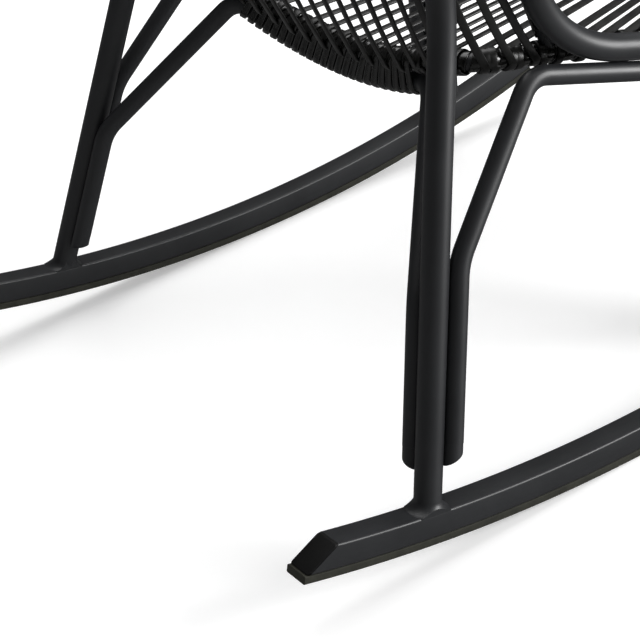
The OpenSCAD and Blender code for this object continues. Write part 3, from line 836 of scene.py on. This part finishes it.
def weld_mesh(name, foot, slope, lateral, material):
    """A concave fillet between a leg and its runner's top, cut flush with the runner's sides"""
    axis = unit(slope)
    a = math.asin(foot.y / RUNNER_TOP_R)
    top = Vector((0, -math.sin(a), math.cos(a)))
    x = across(Vector((1, 0, 0)), axis)
    y = axis.cross(x)
    shape = bmesh.new()
    rings = []
    for k in range(-1, WELD_STEPS + 2):
        phi = math.pi / 2 * min(max(k, 0), WELD_STEPS) / WELD_STEPS
        r = RIM_D / 2 + WELD_W * (1 - math.sin(phi))
        rise = WELD_H * (1 - math.cos(phi)) ** WELD_FLARE
        if k < 0:
            rise = -WELD_SINK
        if k > WELD_STEPS:
            r -= WELD_TUCK
        ring = []
        for i in range(WELD_SIDES):
            t = 2 * math.pi * i / WELD_SIDES
            d = x * math.cos(t) + y * math.sin(t)
            level = -r * d.dot(top) / axis.dot(top)
            ring.append(shape.verts.new(placed(foot + d * r + axis * (level + rise))))
        rings.append(ring)
    for low, high in zip(rings, rings[1:]):
        for i in range(WELD_SIDES):
            j = (i + 1) % WELD_SIDES
            shape.faces.new((low[i], low[j], high[j], high[i]))
    shape.faces.new(list(reversed(rings[0])))
    shape.faces.new(rings[-1])
    mesh = bpy.data.meshes.new(name)
    shape.to_mesh(mesh)
    shape.free()
    mesh.materials.append(material)
    piece = bpy.data.objects.new(name, mesh)
    bpy.context.scene.collection.objects.link(piece)
    for way in (1, -1):
        cut(piece, foot + lateral * (RUNNER_W / 2 - WELD_CLEAR) * way, lateral * way)
    return piece


def add_welds():
    """The welds at the feet of all four legs"""
    lateral = Vector((math.cos(RUNNER_TOE), math.sin(RUNNER_TOE), 0))
    for place, foot, slope, node in (
        ("Rear", REAR_FOOT, REAR_SLOPE, "rear_leg_welds"),
        ("Front", FRONT_FOOT, FRONT_SLOPE, "front_leg_welds"),
    ):
        for side, flip in SIDES:
            axes = on_side([foot, slope, lateral], flip)
            piece = weld_mesh(place + "Weld" + side, *axes, finish("Satin powder coat"))
            fit_half(piece, "powder_coat", node, flip)


POST_CAP_T = 2.5
POST_CAP_SINK = 0.5
POST_CAP_STEP = 0.4


def add_post_caps():
    """The plugs in the top ends of the back posts"""
    top = behind_hoop(POST_TOP_Z)
    slope = unit(HOOP_SLOPE)
    for side, flip in SIDES:
        points = on_side([top - slope * POST_CAP_SINK, top + slope * POST_CAP_T], flip)
        piece = round_bar("PostCap" + side, points, RIM_D - POST_CAP_STEP, "Moulded plastic")
        fit_half(piece, "plastic", "back_post_caps", flip)


# Wound bindings
BINDING_T = 1.5
BINDING_PITCH = 11.6
BINDING_EDGE_R = 0.7
STEPS_A_TURN = 16


def wound(line, rod_r, start, end, reference):
    """A helix of binding round a rod between two lengths along it, and the way it faces"""
    turns = max(1, round((end - start) / BINDING_PITCH))
    steps = turns * STEPS_A_TURN
    points, facings = [], []
    for k in range(steps + 1):
        s = start + (end - start) * k / steps
        p, d = line.place(s)
        x = across(reference, d)
        y = d.cross(x)
        a = 2 * math.pi * k / STEPS_A_TURN
        radial = x * math.cos(a) + y * math.sin(a)
        points.append(p + radial * (rod_r + BINDING_T / 2))
        facings.append(radial)
    return points, facings


# The hip panel: one winding round the upper rod, which is the ring's rear, and the lower rod
HIP_PITCH = 11.375
HIP_TURNS = 24
HIP_HALF = HIP_PITCH * HIP_TURNS / 2
HIP_LEAN = math.radians(27)
HIP_LOW = Vector((0, -49.8, 326.2))
HIP_UP = Vector((0, math.sin(HIP_LEAN), math.cos(HIP_LEAN)))
HIP_OUT = Vector((0, math.cos(HIP_LEAN), -math.sin(HIP_LEAN)))
ROD_GAP = 27
BAND_PLAY = 0.3
HIP_SLANT = 38
SLANT_REACH = 90
FAR_SQUEEZE = 0.05
LOW_ROD_SHIFT = HIP_OUT * 3.1 + HIP_UP * 1.6
LOW_ROD = HIP_LOW + LOW_ROD_SHIFT
WIND_T = 2.8
WIND_EDGE_R = 1.35
WIND_HIGH_R = (RING_D + WIND_T) / 2 + BAND_PLAY
WIND_LOW_R = (BRACE_D + WIND_T) / 2 + BAND_PLAY
ARC_STEPS = 12
RUN_STEPS = 4
WIND_STEPS = 2 * (ARC_STEPS + RUN_STEPS)


def rod_place(middle, r, x, rise=0):
    """The place at x on a hip rod bent to radius r, whose middle may be raised"""
    return middle + Vector((x, 0, 0)) + HIP_UP * (rise + r - math.sqrt(r * r - x * x))


def hip_section(k, x):
    """Place k of a turn in the plane at x: over the upper rod, down the rear, under, and up the front"""
    high = rod_place(HIP_LOW, HIGH_ROD_R, x, ROD_GAP)
    low = rod_place(LOW_ROD, LOW_ROD_R, x)
    if k <= ARC_STEPS:
        a = math.pi * (1 - k / ARC_STEPS)
        facing = HIP_OUT * math.cos(a) + HIP_UP * math.sin(a)
        return high + facing * WIND_HIGH_R, facing
    if k < ARC_STEPS + RUN_STEPS:
        part = (k - ARC_STEPS) / RUN_STEPS
        return along(high + HIP_OUT * WIND_HIGH_R, low + HIP_OUT * WIND_LOW_R, part), HIP_OUT
    if k <= 2 * ARC_STEPS + RUN_STEPS:
        a = -math.pi * (k - ARC_STEPS - RUN_STEPS) / ARC_STEPS
        facing = HIP_OUT * math.cos(a) + HIP_UP * math.sin(a)
        return low + facing * WIND_LOW_R, facing
    part = (k - 2 * ARC_STEPS - RUN_STEPS) / RUN_STEPS
    return along(low - HIP_OUT * WIND_LOW_R, high - HIP_OUT * WIND_HIGH_R, part), -HIP_OUT


def wind_shares():
    """How far round a turn each place is, from the top of the upper rod"""
    places = [hip_section(k, 0)[0] for k in range(WIND_STEPS + 1)]
    lengths = [0.0]
    for a, b in zip(places, places[1:]):
        lengths.append(lengths[-1] + (b - a).length)
    top = lengths[ARC_STEPS // 2]
    return [((s - top) / lengths[-1]) % 1 for s in lengths]


def hip_line():
    """The winding round both hip rods; it slants down the rear and back up the front

    The slant grows over the first turns, and the turns past the middle lie a little closer.
    """
    shares = wind_shares()
    points, facings = [], []
    for i in range(HIP_TURNS * WIND_STEPS + 1):
        k = i % WIND_STEPS
        base = HIP_PITCH * i / WIND_STEPS - HIP_HALF
        base *= 1 - FAR_SQUEEZE * (base > 0)
        slant = HIP_SLANT * min(1, (base + HIP_HALF) / SLANT_REACH)
        share = shares[k]
        sway = 2 * share - 0.5 if share < 0.5 else 1.5 - 2 * share
        point, facing = hip_section(k, base + slant * sway)
        points.append(point)
        facings.append(facing)
    return points, facings


def add_hip_panel():
    """The panel of band wound round both hip rods"""
    points, facings = hip_line()
    width = sizes().panel_band_width / MM
    piece = bar(
        "HipPanel", [points], [facings], width, WIND_T, WIND_EDGE_R, "Wound wicker resin",
        steps=3, sharp=50,
    )
    fit(piece, "resin_binding", "hip_binding")


LENGTH_STEP = 0.5


def length_at(line, test):
    """The first length along a line at which a test of the place holds"""
    s = 0.0
    while s < line.span and not test(line.place(s)[0]):
        s += LENGTH_STEP
    return s


FRONT_BINDING_X = 200
PANEL_GAP = 5
TOP_BINDING_X = 130
TOP_BINDING_Z = 900
HOOP_BINDING_GAP = 27


def add_binding(name, line, rod_r, start, end, reference, node, flip=False):
    """The turns of band round one stretch of rod"""
    points, facings = wound(line, rod_r, start, end, reference)
    width = sizes().binding_width / MM
    piece = bar(
        name, [points], [facings], width, BINDING_T, BINDING_EDGE_R, "Wound wicker resin", flip,
        steps=2, sharp=60,
    )
    fit(piece, "resin_binding", node)


def add_bindings():
    """The bands on the ring's sides and front and on the inner hoop's sides and top"""
    up = Vector((0, 0, 1))
    ring = fine_line("seat_ring")
    ring_start = length_at(ring, lambda p: p.x > FRONT_BINDING_X)
    ring_end = ring.span / 2 - (HIP_HALF + PANEL_GAP)
    hoop = fine_line("back_inner_hoop")
    top_start = length_at(hoop, lambda p: p.z > TOP_BINDING_Z and p.x < TOP_BINDING_X)
    for side, flip in SIDES:
        node = "side_binding_" + side.lower()
        add_binding("SideBinding" + side, ring, RING_D / 2, ring_start, ring_end, up, node, flip)
    for side, flip in SIDES:
        node = "back_binding_" + side.lower()
        add_binding(
            "BackBinding" + side, hoop, HOOP_ROD_D / 2, HOOP_BINDING_GAP, top_start, HOOP_REAR, node, flip,
        )
    front_left = Vector((FRONT_BINDING_X, RING_FRONT.y, RING_FRONT.z))
    front = Line([front_left, mirrored(front_left)])
    add_binding("FrontBinding", front, RING_D / 2, 0, front.span, up, "front_binding")
    top_end = hoop.span - top_start
    add_binding("TopBinding", hoop, HOOP_ROD_D / 2, top_start, top_end, HOOP_REAR, "top_binding")


# Strips
STRIP_PITCH = 25
FRONT_END_PITCH = 8.8
SEAT_STRIPS = 25
BACK_STRIPS = 11
BACK_SPREAD = 1.35
FOOT_STRIP = 11
PARALLEL_STRIP = 10
PLAY = 0.15
RING_BOUND_R = RING_D / 2 + BINDING_T
HOOP_BOUND_R = HOOP_ROD_D / 2 + BINDING_T
HIP_BOUND_R = RING_D / 2 + WIND_T + BAND_PLAY
SEAT_MIDDLE = Vector((0, -200, 400))
STRIP_EDGE_R = 0.9
HOOK_SWEEP = math.radians(285)
HIP_HOOK_SWEEP = math.radians(75)
BACK_HOOK_SWEEP = math.radians(60)
HOOK_STEP = math.radians(11)
HOOK_DIVE = 1.6
TURN_SWEEP = math.radians(370)
TURN_STEPS = 28
TURN_LEAD = 3
TURN_SHIFT = 8


def outward(v, way):
    """A direction, reversed if it points away from another"""
    return -v if v.dot(way) < 0 else v


def rod_arc(centre, d, start, towards, r, sweep, dive=0):
    """Points round a rod from a radial direction towards another, which may sink"""
    q = across(towards - d * towards.dot(d), start)
    steps = max(2, math.ceil(sweep / HOOK_STEP))
    points, facings = [], []
    for k in range(1, steps + 1):
        a = sweep * k / steps
        radial = start * math.cos(a) + q * math.sin(a)
        points.append(centre + radial * (r - dive * k / steps))
        facings.append(radial)
    return points, facings


def turn_line(centre, d, start, r):
    """A full turn round a rod that moves along it"""
    side = d.cross(start)
    points, facings = [], []
    for k in range(TURN_STEPS + 1):
        a = TURN_SWEEP * k / TURN_STEPS
        radial = start * math.cos(a) + side * math.sin(a)
        points.append(centre + d * TURN_LEAD * (k / TURN_STEPS - 0.5) + radial * r)
        facings.append(radial)
    return points, facings


def joined(head, body, tail):
    """A strip's arcs and its straight run as one line"""
    points = list(reversed(head[0])) + body[0] + tail[0]
    facings = list(reversed(head[1])) + body[1] + tail[1]
    return points, facings


EMPTY = ([], [])

# A strip's end hooks over a rod, but turns round it if the cosine of their angle is larger than this
STEEP = 0.55

# The hip panel carries the strips that start on it or at most this far beside it
PANEL_MARGIN = 2


def seat_strip(i, ring, strip_t):
    """Strip i of the seat from the ring's rear or side to its front, as lines and the ways they face"""
    s = i * STRIP_PITCH
    hip = s < HIP_HALF + PANEL_MARGIN
    centre, d = ring.place(ring.span / 2 - s)
    end = Vector((i * FRONT_END_PITCH, RING_FRONT.y, RING_FRONT.z))
    run = unit(end - centre)
    up = outward(unit(d.cross(run)), Vector((0, 0, 1)))
    across_x = Vector((1, 0, 0))
    front_up = outward(unit(across_x.cross(run)), Vector((0, 0, 1)))
    r = (HIP_BOUND_R if hip else RING_BOUND_R) + PLAY + strip_t / 2
    front_r = RING_BOUND_R + PLAY + strip_t / 2
    body = ([centre + up * r, end + front_up * front_r], [up, front_up])
    tail = rod_arc(end, across_x, front_up, run, front_r, HOOK_SWEEP)
    lines = []
    head = EMPTY
    if hip:
        head = rod_arc(centre, d, up, -run, r, HIP_HOOK_SWEEP, HOOK_DIVE)
    elif abs(run.dot(d)) < STEEP:
        head = rod_arc(centre, d, up, -run, r, HOOK_SWEEP)
    else:
        lines.append(turn_line(centre, d, up, r))
    lines.insert(0, joined(head, body, tail))
    return lines


# The back strips bow to the rear and inward, most at a third of their height
BOW_STEPS = 24
BOW_PEAK = 4 / 27
REAR_BOW = 21
BOW_CHANGE = 2
OUTER_BOWS = 4
REAR_BOW_LAST = 6
INWARD_BOW_LAST = 5


def rear_bow(i):
    """How far strip i bows to the rear, which falls after the last full bow"""
    return REAR_BOW - BOW_CHANGE * min(max(i - REAR_BOW_LAST, 0), OUTER_BOWS)


def inward_bow(i):
    """How far strip i bows inward, which rises after the last straight one"""
    return BOW_CHANGE * min(max(i - INWARD_BOW_LAST, 0), OUTER_BOWS)


def back_strip(i, ring, hoop, strip_t):
    """Strip i of the back from the ring to the inner hoop, as lines and the ways they face"""
    s = i * STRIP_PITCH
    hip = s < HIP_HALF + PANEL_MARGIN
    low, low_d = ring.place(ring.span / 2 - s)
    high, high_d = hoop.place(hoop.span / 2 - s * BACK_SPREAD)
    run = unit(high - low)
    out = outward(unit(low_d.cross(run)), low - SEAT_MIDDLE)
    side = -1 if i < PARALLEL_STRIP else 1
    r = (HIP_BOUND_R if hip else RING_BOUND_R) + PLAY + strip_t / 2
    high_r = HOOP_BOUND_R + PLAY + strip_t / 2
    start, end = low + out * r, high + out * high_r * side
    bow = HOOP_REAR * rear_bow(i) - Vector((inward_bow(i), 0, 0))
    body = ([], [out] * (BOW_STEPS + 1))
    for k in range(BOW_STEPS + 1):
        t = k / BOW_STEPS
        body[0].append(along(start, end, t) + bow * (t * (1 - t) ** 2 / BOW_PEAK))
    head = rod_arc(low, low_d, out, -run, r, BACK_HOOK_SWEEP, HOOK_DIVE)
    lines = []
    if not hip:
        lines.append(turn_line(low - low_d * TURN_SHIFT, low_d, across(out, low_d), r))
    tail = EMPTY
    start = out * side
    if abs(run.dot(high_d)) < STEEP:
        tail = rod_arc(high, high_d, start, run, high_r, HOOK_SWEEP)
        tail = (tail[0], [f * side for f in tail[1]])
    else:
        lines.append(turn_line(high, high_d, across(start, high_d), high_r))
    lines.insert(0, joined(head, body, tail))
    return lines


def add_strips(name, lines, node):
    """One piece of all the strips of the seat or of the back"""
    points = [line[0] for line in lines]
    facings = [line[1] for line in lines]
    piece = bar(
        name, points, facings, sizes().strip_width / MM, sizes().strip_thickness / MM, STRIP_EDGE_R,
        "Wicker resin strip", steps=3, sharp=50,
    )
    fit(piece, "resin_strip", node)


def with_copies(lines, centred):
    """Adds the mirror image of each line that isn't in the middle"""
    result = list(centred)
    for points, facings in lines:
        result += [(points, facings), (on_side(points, True), on_side(facings, True))]
    return result


def add_seat_strips():
    """The seat's strips, without those that would run through the inner hoop's feet"""
    ring = fine_line("seat_ring")
    strip_t = sizes().strip_thickness / MM
    lines = []
    for i in range(1, SEAT_STRIPS + 1):
        if i != FOOT_STRIP:
            lines += seat_strip(i, ring, strip_t)
    add_strips("SeatStrips", with_copies(lines, seat_strip(0, ring, strip_t)), "seat_strips")


def add_back_strips():
    """The back's strips, which fan out from the ring to the inner hoop"""
    ring = fine_line("seat_ring")
    hoop = fine_line("back_inner_hoop")
    strip_t = sizes().strip_thickness / MM
    lines = []
    for i in range(1, BACK_STRIPS + 1):
        lines += back_strip(i, ring, hoop, strip_t)
    add_strips("BackStrips", with_copies(lines, back_strip(0, ring, hoop, strip_t)), "back_strips")


# Studio, whose lights have a place, an aim and a size in metres and a power in watts
LIGHTS = {
    "Ceiling light": ((0.45, -0.5, 2.6), (0, 0, 0), (2.5, 2.5), 56),
    "Side light": ((-2.1, -1.75, 1.1), (0, -0.1, 0.3), (1.0, 1.6), 98),
}
WORLD_STRENGTH = 0.36
WORLD_SHINE = 0.06
FLOOR_REACH = 12
FLOOR_TONE = "#f4f4f4"
FLOOR_TONE_SHINE = "#787878"

# The floor's lift for the camera near the chair and far from it, as a distance in metres and a strength
NEAR_LIFT = (0.8, 0.25)
FAR_LIFT = (4.0, 0.75)

# The photo's camera in the chair's millimetres before the roll, its direction and its lens
CAMERA_PLACE = Vector((-1413.87, 1039.66, 947.67))
CAMERA_AZIMUTH = math.radians(233.074)
CAMERA_ELEVATION = math.radians(26.752)
CAMERA_LENS = 110.437
SENSOR = 36
CLIP_START = 0.05
CLIP_END = 50


def add_camera():
    """The camera, level from side to side before the roll, where the photo was taken from"""
    a, e = CAMERA_AZIMUTH, CAMERA_ELEVATION
    back = Vector((math.sin(a) * math.cos(e), -math.cos(a) * math.cos(e), math.sin(e)))
    right = Vector((math.cos(a), math.sin(a), 0))
    up = back.cross(right)
    basis = Matrix((turned(right), turned(up), turned(back))).transposed()
    data = bpy.data.cameras.new("Photo camera")
    data.lens = CAMERA_LENS
    data.sensor_width = SENSOR
    data.clip_start = CLIP_START
    data.clip_end = CLIP_END
    camera = bpy.data.objects.new("Photo camera", data)
    camera.matrix_world = Matrix.Translation(placed(CAMERA_PLACE)) @ basis.to_4x4()
    bpy.context.scene.collection.objects.link(camera)
    bpy.context.scene.camera = camera


def add_light(name, place, aim, size, power):
    """A rectangular lamp that faces its aim"""
    data = bpy.data.lights.new(name, "AREA")
    data.shape = "RECTANGLE"
    data.size, data.size_y = size
    data.energy = power
    light = bpy.data.objects.new(name, data)
    way = Vector(aim) - Vector(place)
    turn = way.to_track_quat("-Z", "Y").to_matrix().to_4x4()
    light.matrix_world = Matrix.Translation(place) @ turn
    bpy.context.scene.collection.objects.link(light)


def floor_material():
    """White paper, lifted towards white for the camera alone, so that it keeps the chair's shadow"""
    material = bpy.data.materials.new("White paper")
    material.use_nodes = True
    tree = material.node_tree
    shader = tree.nodes["Principled BSDF"]
    path = add(tree, "ShaderNodeLightPath", (-3, 0))
    tone = mixed(
        tree, (-2, 0), "RGBA", path.outputs["Is Glossy Ray"], linear(FLOOR_TONE), linear(FLOOR_TONE_SHINE),
    )
    tree.links.new(tone, shader.inputs["Base Color"])
    coords = add(tree, "ShaderNodeTexCoord", (-5, 1))
    away = add(
        tree, "ShaderNodeVectorMath", (-4, 1), {"operation": "LENGTH"}, {0: coords.outputs["Object"]},
    )
    near, near_lift = NEAR_LIFT
    far, far_lift = FAR_LIFT
    rise = add(
        tree, "ShaderNodeMapRange", (-3, 1), {"interpolation_type": "SMOOTHSTEP"},
        {
            "Value": away.outputs["Value"], "From Min": near, "From Max": far,
            "To Min": near_lift, "To Max": far_lift,
        },
    )
    lift = add(
        tree, "ShaderNodeMath", (-2, 1), {"operation": "MULTIPLY"},
        {0: path.outputs["Is Camera Ray"], 1: rise.outputs["Result"]},
    )
    tree.links.new(lift.outputs[0], shader.inputs["Emission Strength"])
    shader.inputs["Emission Color"].default_value = linear("#ffffff")
    shader.inputs["Roughness"].default_value = 0.9
    shader.inputs["Specular IOR Level"].default_value = 0.1
    return material


def add_world():
    """A world that is white to the camera, even and dimmer on the chair, and faint in reflections"""
    world = bpy.data.worlds.new("White studio")
    world.use_nodes = True
    tree = world.node_tree
    background = tree.nodes["Background"]
    path = add(tree, "ShaderNodeLightPath", (-3, 0))
    unseen = mixed(tree, (-2, 1), "FLOAT", path.outputs["Is Glossy Ray"], WORLD_STRENGTH, WORLD_SHINE)
    strength = mixed(tree, (-1, 0), "FLOAT", path.outputs["Is Camera Ray"], unseen, 1.0)
    tree.links.new(strength, background.inputs["Strength"])
    background.inputs["Color"].default_value = linear("#ffffff")
    bpy.context.scene.world = world


def add_floor():
    """The floor, wide enough to fill every view"""
    mesh = bpy.data.meshes.new("Floor")
    corners = [(x * FLOOR_REACH, y * FLOOR_REACH, 0) for x, y in ((-1, -1), (1, -1), (1, 1), (-1, 1))]
    mesh.from_pydata(corners, [], [(0, 1, 2, 3)])
    mesh.materials.append(floor_material())
    floor = bpy.data.objects.new("Floor", mesh)
    bpy.context.scene.collection.objects.link(floor)


class RockerSizes(bpy.types.PropertyGroup):
    strip_width: bpy.props.FloatProperty(
        name="Strip width", description="Width of a seat or back strip", default=7.6 * MM,
        min=6 * MM, max=8.4 * MM, unit="LENGTH",
    )
    strip_thickness: bpy.props.FloatProperty(
        name="Strip thickness", description="Thickness of a seat or back strip", default=2.2 * MM,
        min=1.5 * MM, max=3 * MM, unit="LENGTH",
    )
    binding_width: bpy.props.FloatProperty(
        name="Binding width", description="Width of the band wound round the ring and the inner hoop",
        default=10.9 * MM, min=8 * MM, max=11.4 * MM, unit="LENGTH",
    )
    panel_band_width: bpy.props.FloatProperty(
        name="Panel band width", description="Width of the band wound round the two hip rods",
        default=7.6 * MM, min=6 * MM, max=10 * MM, unit="LENGTH",
    )


class RockerFinish(bpy.types.PropertyGroup):
    coat_colour: bpy.props.FloatVectorProperty(
        name="Coat colour", description="Darkest tone of the powder coat on the steel tubes",
        subtype="COLOR", size=4, min=0, max=1, default=linear("#1d1e20"),
    )
    strip_colour: bpy.props.FloatVectorProperty(
        name="Strip colour", description="Darkest tone of the resin strips of the seat and back",
        subtype="COLOR", size=4, min=0, max=1, default=linear("#0b0b0a"),
    )
    wound_colour: bpy.props.FloatVectorProperty(
        name="Winding colour", description="Darkest tone of the resin wound round the rods",
        subtype="COLOR", size=4, min=0, max=1, default=linear("#090908"),
    )
    rubber_colour: bpy.props.FloatVectorProperty(
        name="Rubber colour", description="Darkest tone of the glide strips under the runners",
        subtype="COLOR", size=4, min=0, max=1, default=linear("#21211b"),
    )
    plug_colour: bpy.props.FloatVectorProperty(
        name="Plug colour", description="Darkest tone of the plastic plugs",
        subtype="COLOR", size=4, min=0, max=1, default=linear("#090909"),
    )


class ROCKER_OT_runners(bpy.types.Operator):
    """Build both curved runners"""

    bl_idname = "rocker.runners"
    bl_label = "Runners"
    bl_options = {"REGISTER", "UNDO"}

    def execute(self, context):
        add_runners()
        return {"FINISHED"}


class ROCKER_OT_glides(bpy.types.Operator):
    """Build the rubber glide strips under the runners"""

    bl_idname = "rocker.glides"
    bl_label = "Glides"
    bl_options = {"REGISTER", "UNDO"}

    def execute(self, context):
        add_glides()
        return {"FINISHED"}


class ROCKER_OT_caps(bpy.types.Operator):
    """Build the plugs of the runners, the braces and the back posts"""

    bl_idname = "rocker.caps"
    bl_label = "Plugs"
    bl_options = {"REGISTER", "UNDO"}

    def execute(self, context):
        add_caps()
        add_post_caps()
        smooth_copy("BracePlugs", "brace_end_plugs", finish("Satin powder coat"), "powder_coat")
        return {"FINISHED"}


class ROCKER_OT_legs(bpy.types.Operator):
    """Build the legs and their welds"""

    bl_idname = "rocker.legs"
    bl_label = "Legs"
    bl_options = {"REGISTER", "UNDO"}

    def execute(self, context):
        add_tube_pair("RearLeg", "rear_leg", RIM_D)
        add_tube_pair("FrontLeg", "front_leg", RIM_D)
        add_welds()
        return {"FINISHED"}


class ROCKER_OT_braces(bpy.types.Operator):
    """Build the cross-braces and the side braces"""

    bl_idname = "rocker.braces"
    bl_label = "Braces"
    bl_options = {"REGISTER", "UNDO"}

    def execute(self, context):
        add_tube("RearCrossBrace", "rear_cross_brace", BRACE_D)
        add_tube("FrontCrossBrace", "front_cross_brace", BRACE_D)
        add_tube_pair("SideBrace", "side_brace", BRACE_D)
        return {"FINISHED"}


class ROCKER_OT_rim(bpy.types.Operator):
    """Build the rim, the ring inside it and the back's inner hoop"""

    bl_idname = "rocker.rim"
    bl_label = "Rim and rods"
    bl_options = {"REGISTER", "UNDO"}

    def execute(self, context):
        add_tube("BackHoop", "back_hoop", RIM_D)
        add_tube("FrontRail", "front_rail", RIM_D)
        add_tube("SeatRing", "seat_ring", RING_D)
        add_tube("InnerHoop", "back_inner_hoop", HOOP_ROD_D)
        for node in ("ring_spacers", "hoop_spacers", "rim_spigots"):
            paint_node(node, finish("Satin powder coat"))
        return {"FINISHED"}


class ROCKER_OT_bindings(bpy.types.Operator):
    """Wind the resin bindings and the hip panel"""

    bl_idname = "rocker.bindings"
    bl_label = "Bindings"
    bl_options = {"REGISTER", "UNDO"}

    def execute(self, context):
        add_bindings()
        add_hip_panel()
        return {"FINISHED"}


class ROCKER_OT_strips(bpy.types.Operator):
    """Lay the strips of the seat and of the back"""

    bl_idname = "rocker.strips"
    bl_label = "Strips"
    bl_options = {"REGISTER", "UNDO"}

    def execute(self, context):
        add_seat_strips()
        add_back_strips()
        return {"FINISHED"}


class ROCKER_OT_stage(bpy.types.Operator):
    """Set up the floor, the lights, the background and the camera"""

    bl_idname = "rocker.stage"
    bl_label = "Studio"
    bl_options = {"REGISTER", "UNDO"}

    def execute(self, context):
        bpy.context.scene.view_settings.view_transform = "Standard"
        add_world()
        add_floor()
        for name, settings in LIGHTS.items():
            add_light(name, *settings)
        add_camera()
        return {"FINISHED"}


OPERATORS = (
    ROCKER_OT_runners, ROCKER_OT_glides, ROCKER_OT_caps, ROCKER_OT_legs, ROCKER_OT_braces, ROCKER_OT_rim,
    ROCKER_OT_bindings, ROCKER_OT_strips, ROCKER_OT_stage,
)


class ROCKER_PT_panel(bpy.types.Panel):
    bl_idname = "ROCKER_PT_panel"
    bl_label = "Rocking chair"
    bl_space_type = "VIEW_3D"
    bl_region_type = "UI"
    bl_category = "Rocking chair"

    def draw(self, context):
        for size in ("strip_width", "strip_thickness", "binding_width", "panel_band_width"):
            self.layout.prop(context.scene.rocker_sizes, size)
        for colour in ("coat_colour", "strip_colour", "wound_colour", "rubber_colour", "plug_colour"):
            self.layout.prop(context.scene.rocker_finish, colour)
        for operator in OPERATORS:
            self.layout.operator(operator.bl_idname)


CLASSES = (RockerSizes, RockerFinish) + OPERATORS + (ROCKER_PT_panel,)


def register():
    for cls in CLASSES:
        bpy.utils.register_class(cls)
    bpy.types.Scene.rocker_sizes = bpy.props.PointerProperty(type=RockerSizes)
    bpy.types.Scene.rocker_finish = bpy.props.PointerProperty(type=RockerFinish)


def unregister():
    del bpy.types.Scene.rocker_finish
    del bpy.types.Scene.rocker_sizes
    for cls in reversed(CLASSES):
        bpy.utils.unregister_class(cls)


def main():
    register()
    bpy.ops.rocker.runners()
    bpy.ops.rocker.glides()
    bpy.ops.rocker.caps()
    bpy.ops.rocker.legs()
    bpy.ops.rocker.braces()
    bpy.ops.rocker.rim()
    bpy.ops.rocker.bindings()
    bpy.ops.rocker.strips()
    bpy.ops.rocker.stage()


if __name__ == "__main__":
    main()
